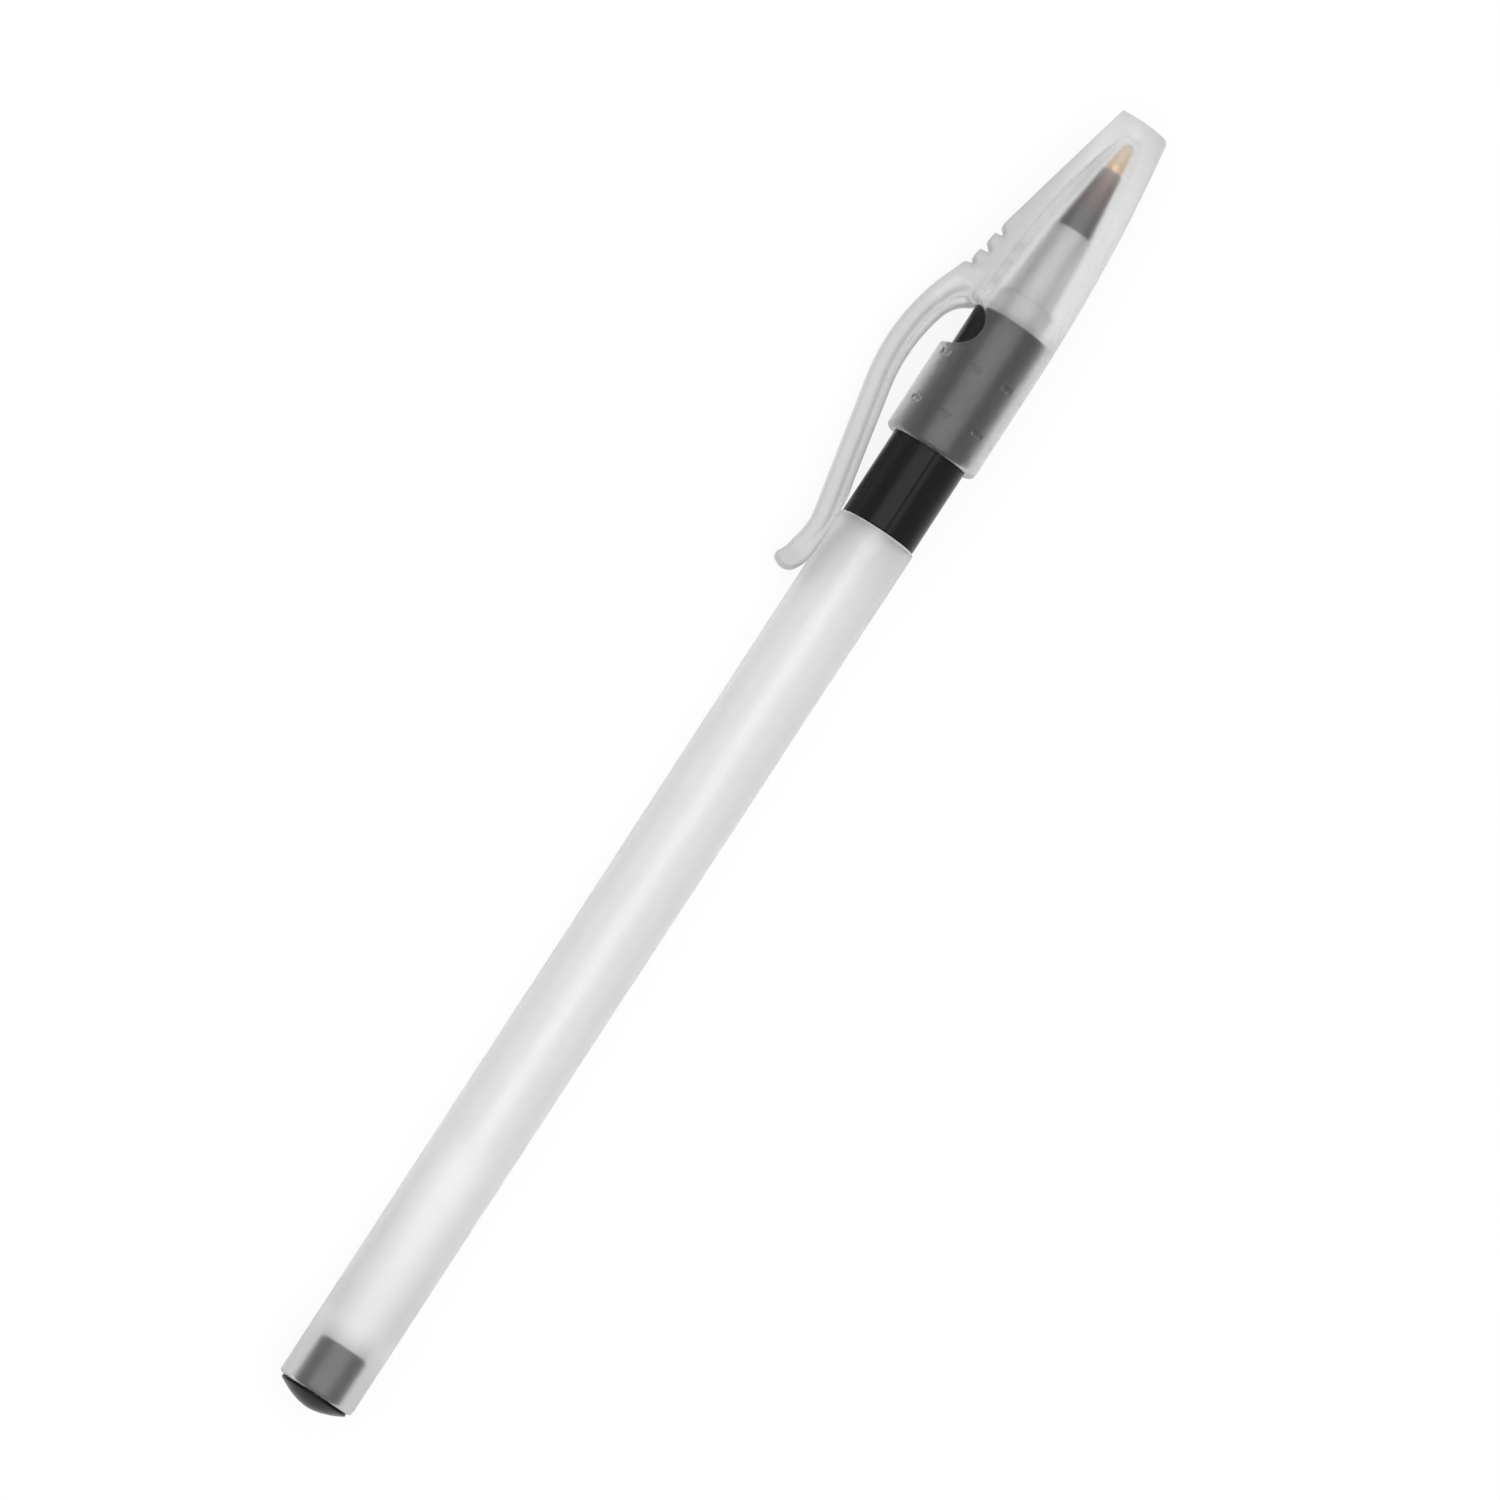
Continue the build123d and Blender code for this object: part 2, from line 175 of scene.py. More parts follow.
def rounded_outline(corners, closed, seam):
    """An outline to be turned: its corners rounded by arcs, with points close to each arc, so that flat
    faces stay flat when they are shaded smooth, and none further apart than a few millimetres.
    A corner is (place along the pen, radius, corner rounding), and seam is how deep seams are pressed."""
    arc_steps = 7
    arc_margin = 0.1
    longest_run = 4.0
    count = len(corners)
    runs = []
    for i, (x, r, rounding) in enumerate(corners):
        here = Vector((x, r))
        ends_here = not closed and i in (0, count - 1)
        if ends_here or rounding == 0.0:
            runs.append([here])
            continue
        to_last = (Vector(corners[i - 1][:2]) - here).normalized()
        to_next = (Vector(corners[(i + 1) % count][:2]) - here).normalized()
        half = to_last.angle(to_next) / 2
        centre = here + (to_last + to_next).normalized() * (rounding / math.sin(half))
        start = here + to_last * (rounding / math.tan(half)) - centre
        end = here + to_next * (rounding / math.tan(half)) - centre
        turn = math.atan2(start.cross(end), start.dot(end))
        turns = [turn * k / arc_steps for k in range(arc_steps + 1)]
        runs.append([centre + Matrix.Rotation(t, 2) @ start for t in turns])
    points = []
    for i, run in enumerate(runs):
        points += run
        if i == count - 1 and not closed:
            break
        start, end = run[-1], runs[(i + 1) % count][0]
        length = (end - start).length
        margin = min(arc_margin, length / 3)
        pieces = max(1, math.ceil((length - 2 * margin) / longest_run))
        for k in range(pieces + 1):
            share = (margin + (length - 2 * margin) * k / pieces) / length
            points.append(start.lerp(end, share))
    if closed:
        points.append(points[0])
    return [(p.x * MM, p.y * MM, seam * MM) for p in points]


def open_tree(name, sizes):
    """A tree that takes a starting mesh, named sizes and a material, and the sockets that give them."""
    tree = bpy.data.node_groups.new(name, "GeometryNodeTree")
    inputs = {"Start": "Geometry"} | sizes | {"Material": "Material"}
    for label, kind in inputs.items():
        tree.interface.new_socket(label, in_out="INPUT", socket_type="NodeSocket" + kind)
    tree.interface.new_socket("Made", in_out="OUTPUT", socket_type="NodeSocketGeometry")
    return tree, add_node(tree, "NodeGroupInput").outputs


def close_tree(tree, geometry, material):
    """Ends a tree: its instances become real, and all of it gets the material."""
    real = add_node(tree, "GeometryNodeRealizeInstances", {0: geometry}).outputs[0]
    surfaced = add_node(
        tree, "GeometryNodeSetMaterial", {"Geometry": real, "Material": material}
    ).outputs[0]
    add_node(tree, "NodeGroupOutput", {0: surfaced})


def turning_tree():
    """The tree that turns an outline about the pen's axis. A grid gets one row for each point of the
    outline and is wrapped round X. The outline's third value is how deep straight seams are pressed."""
    tree, given = open_tree(
        "turned_about_the_axis",
        {"Segments": "Int", "Seam Count": "Int", "Seam Angle": "Float", "Seam Width": "Float"},
    )
    count = add_node(tree, "GeometryNodeAttributeDomainSize", {0: given["Start"]}).outputs["Point Count"]
    last = add_node(tree, "ShaderNodeMath", {0: count, 1: 1.0}, operation="SUBTRACT").outputs[0]
    columns = add_node(tree, "ShaderNodeMath", {0: given["Segments"], 1: 1.0}, operation="ADD").outputs[0]
    grid = add_node(
        tree,
        "GeometryNodeMeshGrid",
        {"Size X": last, "Size Y": 1.0, "Vertices X": count, "Vertices Y": columns},
    ).outputs["Mesh"]
    place = add_node(tree, "GeometryNodeInputPosition").outputs[0]
    flat = add_node(tree, "ShaderNodeSeparateXYZ", {0: place}).outputs
    half = add_node(tree, "ShaderNodeMath", {0: last, 1: 0.5}, operation="MULTIPLY").outputs[0]
    along = add_node(tree, "ShaderNodeMath", {0: flat[0], 1: half}, operation="ADD").outputs[0]
    row = add_node(tree, "FunctionNodeFloatToInt", {0: along}, rounding_mode="ROUND").outputs[0]
    outline_place = add_node(tree, "GeometryNodeInputPosition").outputs[0]
    corner = add_node(
        tree,
        "GeometryNodeSampleIndex",
        {"Geometry": given["Start"], "Value": outline_place, "Index": row},
        data_type="FLOAT_VECTOR",
    ).outputs[0]
    profile = add_node(tree, "ShaderNodeSeparateXYZ", {0: corner}).outputs
    share = add_node(tree, "ShaderNodeMath", {0: flat[1], 1: 0.5}, operation="ADD").outputs[0]
    angle = add_node(tree, "ShaderNodeMath", {0: share, 1: math.tau}, operation="MULTIPLY").outputs[0]
    pitch = add_node(
        tree, "ShaderNodeMath", {0: math.tau, 1: given["Seam Count"]}, operation="DIVIDE"
    ).outputs[0]
    off = add_node(
        tree, "ShaderNodeMath", {0: angle, 1: given["Seam Angle"]}, operation="SUBTRACT"
    ).outputs[0]
    half_pitch = add_node(tree, "ShaderNodeMath", {0: pitch, 1: 0.5}, operation="MULTIPLY").outputs[0]
    low = add_node(tree, "ShaderNodeMath", {0: half_pitch, 1: -1.0}, operation="MULTIPLY").outputs[0]
    wrapped = add_node(tree, "ShaderNodeMath", {0: off, 1: half_pitch, 2: low}, operation="WRAP").outputs[0]
    aside = add_node(tree, "ShaderNodeMath", {0: wrapped}, operation="ABSOLUTE").outputs[0]
    arc = add_node(tree, "ShaderNodeMath", {0: aside, 1: profile[1]}, operation="MULTIPLY").outputs[0]
    edge = add_node(
        tree, "ShaderNodeMath", {0: given["Seam Width"], 1: 0.5}, operation="MULTIPLY"
    ).outputs[0]
    pressed = add_node(
        tree,
        "ShaderNodeMapRange",
        {"Value": arc, "From Min": 0.0, "From Max": edge, "To Min": 1.0, "To Max": 0.0},
        interpolation_type="SMOOTHSTEP",
    ).outputs[0]
    depth = add_node(tree, "ShaderNodeMath", {0: profile[2], 1: pressed}, operation="MULTIPLY").outputs[0]
    radius = add_node(tree, "ShaderNodeMath", {0: profile[1], 1: depth}, operation="SUBTRACT").outputs[0]
    cosine = add_node(tree, "ShaderNodeMath", {0: angle}, operation="COSINE").outputs[0]
    sine = add_node(tree, "ShaderNodeMath", {0: angle}, operation="SINE").outputs[0]
    y = add_node(tree, "ShaderNodeMath", {0: radius, 1: cosine}, operation="MULTIPLY").outputs[0]
    z = add_node(tree, "ShaderNodeMath", {0: radius, 1: sine}, operation="MULTIPLY").outputs[0]
    turned = add_node(tree, "ShaderNodeCombineXYZ", {0: profile[0], 1: y, 2: z}).outputs[0]
    wrapped_grid = add_node(
        tree, "GeometryNodeSetPosition", {"Geometry": grid, "Position": turned}
    ).outputs[0]
    closed = add_node(
        tree, "GeometryNodeMergeByDistance", {"Geometry": wrapped_grid, "Distance": 1e-7}
    ).outputs[0]
    smooth = add_node(tree, "GeometryNodeSetShadeSmooth", {0: closed}).outputs[0]
    close_tree(tree, smooth, given["Material"])
    return tree


def mesh_from_tree(name, start, tree, **sizes):
    """Runs a tree on a starting mesh, and gives its result as an object with a plain closed mesh."""
    maker = bpy.data.objects.new(name + "_maker", start)
    bpy.context.scene.collection.objects.link(maker)
    modifier = maker.modifiers.new("maker", "NODES")
    modifier.node_group = tree
    for item in tree.interface.items_tree:
        if item.in_out == "INPUT" and item.name in sizes:
            modifier[item.identifier] = sizes[item.name]
    depsgraph = bpy.context.evaluated_depsgraph_get()
    made = bpy.data.meshes.new_from_object(maker.evaluated_get(depsgraph), depsgraph=depsgraph)
    bpy.data.objects.remove(maker)
    shell = bmesh.new()
    shell.from_mesh(made)
    bmesh.ops.recalc_face_normals(shell, faces=shell.faces)
    shell.to_mesh(made)
    shell.free()
    made.name = name
    piece = bpy.data.objects.new(name, made)
    bpy.context.scene.collection.objects.link(piece)
    return piece


def turned_piece(name, corners, material, closed=True, seam=0.0, **sizes):
    """A piece turned about the pen's axis from the corners of its outline."""
    outline = rounded_outline(corners, closed, seam)
    line = bpy.data.meshes.new(name + "_outline")
    line.from_pydata(outline, [(i, i + 1) for i in range(len(outline) - 1)], [])
    sizes = {"Segments": 160, "Seam Count": 1, "Seam Angle": 0.0, "Seam Width": 0.3 * MM} | sizes
    return mesh_from_tree(name, line, turning, Material=material, **sizes)


turning = turning_tree()
barrel_see_through = 0.94
barrel_plastic, barrel_shader = frosted_polypropylene(
    "frosted_polypropylene_barrel",
    tones=("#FDFDFD", "#FFFFFF"),
    see_through=barrel_see_through,
    matt=0.28,
    cast=0.001,
)
# The bore is smooth where the plug goes in, so that the plug shows clearly. Past it the bore is much duller,
# as far as the throat, and the skin a little duller, so that the refill doesn't show
plug_shown_x = 5.0
plug_lost_x = 9.0
tail_bore_matt = 0.18
bore_matt = 0.62
skin_gain = 0.1
bore_margin = 0.1
bore_tree = barrel_plastic.node_tree
bore_place = add_node(bore_tree, "ShaderNodeTexCoord").outputs["Object"]
bore_along = add_node(bore_tree, "ShaderNodeSeparateXYZ", {0: bore_place}).outputs["X"]
bore_across = add_node(
    bore_tree, "ShaderNodeVectorMath", {0: bore_place, 1: (0.0, 1.0, 1.0)}, operation="MULTIPLY"
).outputs[0]
bore_radius = add_node(
    bore_tree, "ShaderNodeVectorMath", {0: bore_across}, operation="LENGTH"
).outputs["Value"]
bore_deep = add_node(
    bore_tree,
    "ShaderNodeMath",
    {0: bore_radius, 1: (barrel_bore_r + bore_margin) * MM},
    operation="LESS_THAN",
).outputs[0]
bore_ends = add_node(
    bore_tree, "ShaderNodeMath", {0: bore_along, 1: throat_x * MM}, operation="LESS_THAN"
).outputs[0]
in_bore = add_node(
    bore_tree, "ShaderNodeMath", {0: bore_deep, 1: bore_ends}, operation="MULTIPLY"
).outputs[0]
past_plug = {"Value": bore_along, "From Min": plug_shown_x * MM, "From Max": plug_lost_x * MM}
bore_dull = add_node(
    bore_tree, "ShaderNodeMapRange", past_plug | {"To Min": tail_bore_matt, "To Max": bore_matt}
).outputs[0]
skin_dull = add_node(
    bore_tree, "ShaderNodeMapRange", past_plug | {"To Min": 0.0, "To Max": skin_gain}
).outputs[0]
tail_dull = barrel_shader.inputs["Roughness"].links[0].from_socket
barrel_dull = add_node(
    bore_tree, "ShaderNodeMath", {0: tail_dull, 1: skin_dull}, operation="ADD"
).outputs[0]
barrel_matt = add_node(
    bore_tree, "ShaderNodeMix", {"Factor": in_bore, 2: barrel_dull, 3: bore_dull}
).outputs[0]
bore_tree.links.new(barrel_matt, barrel_shader.inputs["Roughness"])
# Painted shade: the wall's colour is greyed beside the black plug and near the black grip, for the shade
# that these dark parts put into the plastic around them
painted_wall_shades = [
    (0.0, "#DCDCDC"),
    (5.0, "#DCDCDC"),
    (7.5, "#F9F9F9"),
    (28.0, "#FFFFFF"),
    (93.0, "#FFFFFF"),
    (99.0, "#F9F9F9"),
    (118.0, "#F9F9F9"),
    (grip_front_x, "#FFFFFF"),
]
pen_share = add_node(
    bore_tree, "ShaderNodeMath", {0: bore_along, 1: nose_front_x * MM}, operation="DIVIDE"
).outputs[0]
painted_shade_ramp = add_node(bore_tree, "ShaderNodeValToRGB", {0: pen_share})
for i, (x, code) in enumerate(painted_wall_shades):
    ends = painted_shade_ramp.color_ramp.elements
    stop = ends[0] if i == 0 else ends.new(x / nose_front_x)
    stop.color = linear(code)
barrel_milk = barrel_shader.inputs["Base Color"].links[0].from_socket
# The painted shade is multiplied into the barrel's milk colour
barrel_milk_and_painted_shade = add_node(
    bore_tree,
    "ShaderNodeMix",
    {"Factor": 1.0, 6: barrel_milk, 7: painted_shade_ramp.outputs[0]},
    data_type="RGBA",
    blend_type="MULTIPLY",
).outputs[2]
bore_tree.links.new(barrel_milk_and_painted_shade, barrel_shader.inputs["Base Color"])
# The collar at the back of the nose is thick and milky
collar_see_through = 0.76
nose_collar = add_node(
    bore_tree,
    "ShaderNodeMath",
    {
        0: bore_along,
        1: (grip_front_x + nose_back_x) / 2 * MM,
        2: (nose_back_x - grip_front_x) / 2 * MM,
    },
    operation="COMPARE",
).outputs[0]
barrel_clear = add_node(
    bore_tree,
    "ShaderNodeMapRange",
    {"Value": nose_collar, "To Min": barrel_see_through, "To Max": collar_see_through},
).outputs[0]
bore_tree.links.new(barrel_clear, barrel_shader.inputs["Transmission Weight"])
barrel = turned_piece("frosted_barrel_shell", barrel_outline, barrel_plastic)
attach(barrel, "pen")
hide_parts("barrel")


# End plug. A black polypropylene plug pressed into the barrel's tail: a low domed head on a cored spigot,
# with eight crush ribs near the head. On the real plug they bite into the bore, and here they end just
# short of it. The real head is polished and the rest left as moulded; here all of it has the polished
# finish.

# Faces that touch are drawn this far apart
face_gap = 0.02
plug_head_r = 3.65
plug_rim_x = -0.3
plug_dome_x = -1.5
plug_spigot_r = 2.6
plug_spigot_x = 5.3
plug_chamfer = 0.3
plug_core_r = 1.57
plug_core_x = 0.6
rib_count = 8
rib_middle_x = 1.675
rib_length = 1.85
rib_reach_r = 2.69
rib_r = 0.3
# The pen lies rolled by this angle, so that the clip points a little down to the table
rest_roll = math.asin(0.310940024)
dome_rise = plug_rim_x - plug_dome_x
dome_fullness = 0.56
dome_steps = 18
dome_shares = [(k / dome_steps) ** 2 for k in range(dome_steps)]
plug_dome = [(plug_dome_x + dome_rise * s, plug_head_r * s**dome_fullness, 0.0) for s in dome_shares]
plug_outline = plug_dome + [
    (plug_rim_x, plug_head_r, 0.12),
    (-face_gap, plug_head_r, 0.12),
    (-face_gap, plug_spigot_r, 0.05),
    (plug_spigot_x - plug_chamfer, plug_spigot_r, 0.1),
    (plug_spigot_x, plug_spigot_r - plug_chamfer, 0.1),
    (plug_spigot_x, plug_core_r, 0.1),
    (plug_core_x, plug_core_r, 0.3),
    (plug_core_x, 0.0, 0.0),
]


def ribbed_tree():
    """The tree that sets a ring of rounded ribs round the pen's axis, on the piece that it is given."""
    lengths = ("Middle", "Length", "Ring Radius", "Rib Radius", "Turn")
    tree, given = open_tree("ring_of_crush_ribs", {"Count": "Int"} | dict.fromkeys(lengths, "Float"))
    ring = add_node(
        tree,
        "GeometryNodeMeshCircle",
        {"Vertices": given["Count"], "Radius": given["Ring Radius"]},
    ).outputs[0]
    middle = add_node(tree, "ShaderNodeCombineXYZ", {0: given["Middle"]}).outputs[0]
    across = add_node(
        tree,
        "GeometryNodeTransform",
        {"Geometry": ring, "Translation": middle, "Rotation": (0.0, math.pi / 2, 0.0)},
    ).outputs[0]
    roll = add_node(tree, "ShaderNodeCombineXYZ", {0: given["Turn"]}).outputs[0]
    rolled = add_node(tree, "GeometryNodeTransform", {"Geometry": across, "Rotation": roll}).outputs[0]
    bar = add_node(
        tree,
        "GeometryNodeMeshCylinder",
        {"Vertices": 16, "Radius": given["Rib Radius"], "Depth": given["Length"]},
    ).outputs[0]
    lengthwise = add_node(
        tree, "GeometryNodeTransform", {"Geometry": bar, "Rotation": (0.0, math.pi / 2, 0.0)}
    ).outputs[0]
    smooth = add_node(tree, "GeometryNodeSetShadeSmooth", {0: lengthwise}).outputs[0]
    ribs = add_node(
        tree, "GeometryNodeInstanceOnPoints", {"Points": rolled, "Instance": smooth}
    ).outputs[0]
    whole = add_node(tree, "GeometryNodeJoinGeometry", {0: given["Start"]})
    tree.links.new(ribs, whole.inputs[0])
    close_tree(tree, whole.outputs[0], given["Material"])
    return tree


# Black plastic with a soft gloss. Handling leaves faint greyer, duller flecks, which break the gloss up
plug_plastic, plug_tree = blank_material("black_polypropylene_polished")
plug_flecks, plug_tone, plug_gloss = patchy(
    plug_tree, size=0.6, tones=("#0A0A0B", "#141415"), matts=(0.16, 0.26), detail=4.0, span=(0.3, 0.7)
)
plug_skin = add_node(
    plug_tree, "ShaderNodeBump", {"Height": plug_flecks, "Strength": 0.1, "Distance": 0.02 * MM}
).outputs[0]
plug_shine = add_node(
    plug_tree,
    "ShaderNodeBsdfPrincipled",
    {
        "Base Color": plug_tone,
        "Roughness": plug_gloss,
        "IOR": polypropylene_ior,
        "Specular IOR Level": 0.1,
        "Normal": plug_skin,
    },
).outputs[0]
add_node(plug_tree, "ShaderNodeOutputMaterial", {"Surface": plug_shine})
plug_body = turned_piece("plug_body", plug_outline, plug_plastic, closed=False)
plug = mesh_from_tree(
    "end_plug_ribbed",
    plug_body.data,
    ribbed_tree(),
    Count=rib_count,
    Middle=rib_middle_x * MM,
    Length=rib_length * MM,
    Turn=-rest_roll,
    **{"Ring Radius": (rib_reach_r - rib_r) * MM, "Rib Radius": rib_r * MM},
    Material=plug_plastic,
)
bpy.data.objects.remove(plug_body)
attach(plug, "pen")
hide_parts("end_plug")


# Refill tube. A plain extruded tube of natural polypropylene, milky, pushed into the nose from the front
# and cut square at its tail. Little light goes through it, so it shows as a paler band in the nose.

refill_tail_x = 28.1
refill_front_x = nose_front_x - face_gap
refill_r = 1.55
refill_bore_r = 1.05
refill_outline = [
    (refill_tail_x, refill_bore_r, 0.05),
    (refill_tail_x, refill_r, 0.08),
    (refill_front_x, refill_r, 0.05),
    (refill_front_x, refill_bore_r, 0.05),
]
refill_plastic = frosted_polypropylene(
    "milky_polypropylene_extruded", tones=("#F9F9F8", "#FFFFFE"), see_through=0.04, matt=0.3, cast=0.02
)[0]
refill = turned_piece("refill_tube_extruded", refill_outline, refill_plastic, Segments=96)
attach(refill, "pen")
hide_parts("refill_tube")


# Ink. A column of black paste ink in the tube, with thin threads of it through the holder and the tip.
# It wets the tube, so it is smooth and glossy, with slow swirls from filling.

ink_paste, ink_tree = blank_material("black_ballpoint_paste")
ink_swirls, ink_tone, ink_gloss = patchy(
    ink_tree, size=3.0, tones=("#08080B", "#121218"), matts=(0.06, 0.16), detail=2.0, swirl=1.5
)
ink_wet = add_node(
    ink_tree, "ShaderNodeBsdfPrincipled", {"Base Color": ink_tone, "Roughness": ink_gloss, "IOR": 1.45}
).outputs[0]
add_node(ink_tree, "ShaderNodeOutputMaterial", {"Surface": ink_wet})
for ink_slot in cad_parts["ink_column"].material_slots:
    ink_slot.material = ink_paste


# Tip holder. A smoke-black polypropylene cone that stops on the nose, with a spigot that plugs the tube.
# It is thin at the front, where the brass shank shows through it as a brown streak.

holder_tail_x = 130.12
holder_back_x = nose_front_x + face_gap
holder_front_x = 142.1
shank_tail_x = 137.7
holder_thread_r = 0.55
holder_socket_r = 0.82
holder_spigot_r = 1.03
holder_back_r = 1.95
holder_front_r = 1.1
holder_outline = [
    (holder_tail_x, holder_thread_r, 0.05),
    (holder_tail_x, holder_spigot_r, 0.1),
    (holder_back_x, holder_spigot_r, 0.05),
    (holder_back_x, holder_back_r, 0.12),
    (holder_front_x, holder_front_r, 0.1),
    (holder_front_x, holder_socket_r, 0.05),
    (shank_tail_x, holder_socket_r, 0.05),
    (shank_tail_x, holder_thread_r, 0.05),
]
holder_plastic, holder_tree = blank_material("smoke_polypropylene_moulded")
holder_flow, holder_tone, holder_gloss = patchy(
    holder_tree, size=1.2, tones=("#D2C6BE", "#E2D8D0"), matts=(0.28, 0.4)
)
holder_smoke = add_node(
    holder_tree,
    "ShaderNodeBsdfPrincipled",
    {
        "Base Color": holder_tone,
        "Roughness": holder_gloss,
        "IOR": polypropylene_ior,
        "Transmission Weight": 0.97,
    },
).outputs[0]
# The smoke lets less than a fifth of the light through in each millimetre, and most of that is red
holder_dye = add_node(
    holder_tree, "ShaderNodeVolumeAbsorption", {"Color": linear("#B87850"), "Density": 2.4 / MM}
).outputs[0]
add_node(holder_tree, "ShaderNodeOutputMaterial", {"Surface": holder_smoke, "Volume": holder_dye})
holder = turned_piece("tip_holder_cone", holder_outline, holder_plastic, Segments=96)
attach(holder, "pen")
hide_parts("tip_holder")


# Brass tip. Turned from bar: a shank pressed into the holder, a short land, a cone, and a lip rolled over
# the ball. The tool leaves fine rings round it, which spread its shine along the pen.

ball_x = 144.85
ball_r = 0.5
socket_r = 0.512
feed_r = 0.2
shank_r = 0.8
shank_back_x = shank_tail_x + face_gap / 2
land_x = holder_front_x + face_gap
land_r = 0.95
land_length = 0.68
lip_x = 145.0
lip_wall = 0.07
lip_bore_r = math.sqrt(socket_r**2 - (lip_x - ball_x) ** 2)
seat_from = math.atan2(lip_bore_r, lip_x - ball_x)
seat_to = math.pi - math.asin(feed_r / socket_r)
seat_steps = 10
seat_angles = [seat_from + (seat_to - seat_from) * k / seat_steps for k in range(seat_steps + 1)]
ball_seat = [(ball_x + socket_r * math.cos(a), socket_r * math.sin(a), 0.0) for a in seat_angles]
brass_outline = ball_seat + [
    (shank_back_x, feed_r, 0.02),
    (shank_back_x, shank_r, 0.1),
    (land_x, shank_r, 0.02),
    (land_x, land_r, 0.05),
    (land_x + land_length, land_r, 0.2),
    (lip_x, lip_bore_r + lip_wall, 0.03),
]
brass, brass_tree = blank_material("free_cutting_brass_turned")
brass_stain, brass_tone, brass_gloss = patchy(
    brass_tree, size=0.7, tones=("#E3B468", "#F4D294"), matts=(0.36, 0.52)
)
# The rings of the feed are drawn coarser than real ones, so that they show. A wave of scale 1 runs through
# 20 radians in a metre
feed_pitch = 0.16
brass_place = add_node(brass_tree, "ShaderNodeTexCoord").outputs["Object"]
brass_rings = add_node(
    brass_tree,
    "ShaderNodeTexWave",
    {"Vector": brass_place, "Scale": math.tau / 20 / (feed_pitch * MM), "Distortion": 0.4},
    bands_direction="X",
).outputs["Fac"]
brass_skin = add_node(
    brass_tree, "ShaderNodeBump", {"Height": brass_rings, "Strength": 0.2, "Distance": 0.005 * MM}
).outputs[0]
brass_metal = add_node(
    brass_tree,
    "ShaderNodeBsdfPrincipled",
    {"Base Color": brass_tone, "Metallic": 1.0, "Roughness": brass_gloss, "Normal": brass_skin},
).outputs[0]
add_node(brass_tree, "ShaderNodeOutputMaterial", {"Surface": brass_metal})
tip = turned_piece("brass_tip_turned", brass_outline, brass, Segments=96)
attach(tip, "pen")
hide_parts("tip_socket")


# Writing ball. Sintered tungsten carbide, ground and lapped, held in the brass by the rolled lip and free
# to roll. Its skin is bright grey with a sintered speckle, drawn coarser than real so that it shows.

ball_steps = 32
ball_angles = [math.pi * k / ball_steps for k in range(ball_steps + 1)]
ball_outline = [(ball_x - ball_r * math.cos(a), ball_r * math.sin(a), 0.0) for a in ball_angles]
carbide, carbide_tree = blank_material("tungsten_carbide_lapped")
carbide_speckle, carbide_tone, carbide_gloss = patchy(
    carbide_tree, size=0.06, tones=("#84858A", "#A2A3A8"), matts=(0.1, 0.22), detail=2.0
)
carbide_metal = add_node(
    carbide_tree,
    "ShaderNodeBsdfPrincipled",
    {"Base Color": carbide_tone, "Metallic": 1.0, "Roughness": carbide_gloss},
).outputs[0]
add_node(carbide_tree, "ShaderNodeOutputMaterial", {"Surface": carbide_metal})
ball = turned_piece("writing_ball_lapped", ball_outline, carbide, closed=False, Segments=64)
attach(ball, "ball")
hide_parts("writing_ball")


# Grip sleeve. A soft black elastomer sleeve slid over the barrel's spigot, against its shoulder. The mould
# parts along two lines, which show as straight shallow seams.

grip_r = 4.02
grip_bore_r = 3.04
seam_count = 2
seam_depth = 0.1
seam_width = 0.34
seam_angle = math.radians(99.8) - rest_roll
grip_back_x = barrel_front_x + face_gap
grip_outline = [
    (grip_back_x, grip_bore_r, 0.05),
    (grip_back_x, grip_r, 0.2),
    (grip_front_x, grip_r, 0.2),
    (grip_front_x, grip_bore_r, 0.05),
]
# Satin black, with a low sheen that faint streaks along the sleeve break up. The mould's grain is drawn
# coarser than the real one, so that it shows
elastomer, grip_tree = blank_material("black_thermoplastic_elastomer_satin")
grip_streaks, grip_tone, grip_gloss = patchy(
    grip_tree,
    size=0.5,
    tones=("#060607", "#0F0F10"),
    matts=(0.22, 0.3),
    lengthwise=0.15,
    span=(0.3, 0.7),
)
grain_size = 0.2
grip_place = add_node(grip_tree, "ShaderNodeTexCoord").outputs["Object"]
grip_grain = add_node(
    grip_tree,
    "ShaderNodeTexNoise",
    {"Vector": grip_place, "Scale": 1 / (grain_size * MM), "Detail": 2.0},
).outputs["Fac"]
grip_skin = add_node(
    grip_tree, "ShaderNodeBump", {"Height": grip_grain, "Strength": 0.1, "Distance": 0.02 * MM}
).outputs[0]
grip_rubber = add_node(
    grip_tree,
    "ShaderNodeBsdfPrincipled",
    {
        "Base Color": grip_tone,
        "Roughness": grip_gloss,
        "IOR": 1.5,
        "Specular IOR Level": 0.19,
        "Normal": grip_skin,
    },
).outputs[0]
add_node(grip_tree, "ShaderNodeOutputMaterial", {"Surface": grip_rubber})
grip = turned_piece(
    "grip_sleeve_seamed",
    grip_outline,
    elastomer,
    seam=seam_depth,
    Segments=384,
    **{"Seam Count": seam_count, "Seam Angle": seam_angle, "Seam Width": seam_width * MM},
)
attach(grip, "pen")
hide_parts("grip_sleeve")


# Cap with its clip. One moulding of frosted polypropylene: a collar over the grip, a long taper over the
# tip, a fin with thumb teeth, and a springy clip that bends at its root. It is made as one closed skin
# round a field of distances, so that its walls, ribs and fin run together with small fillets as moulded.

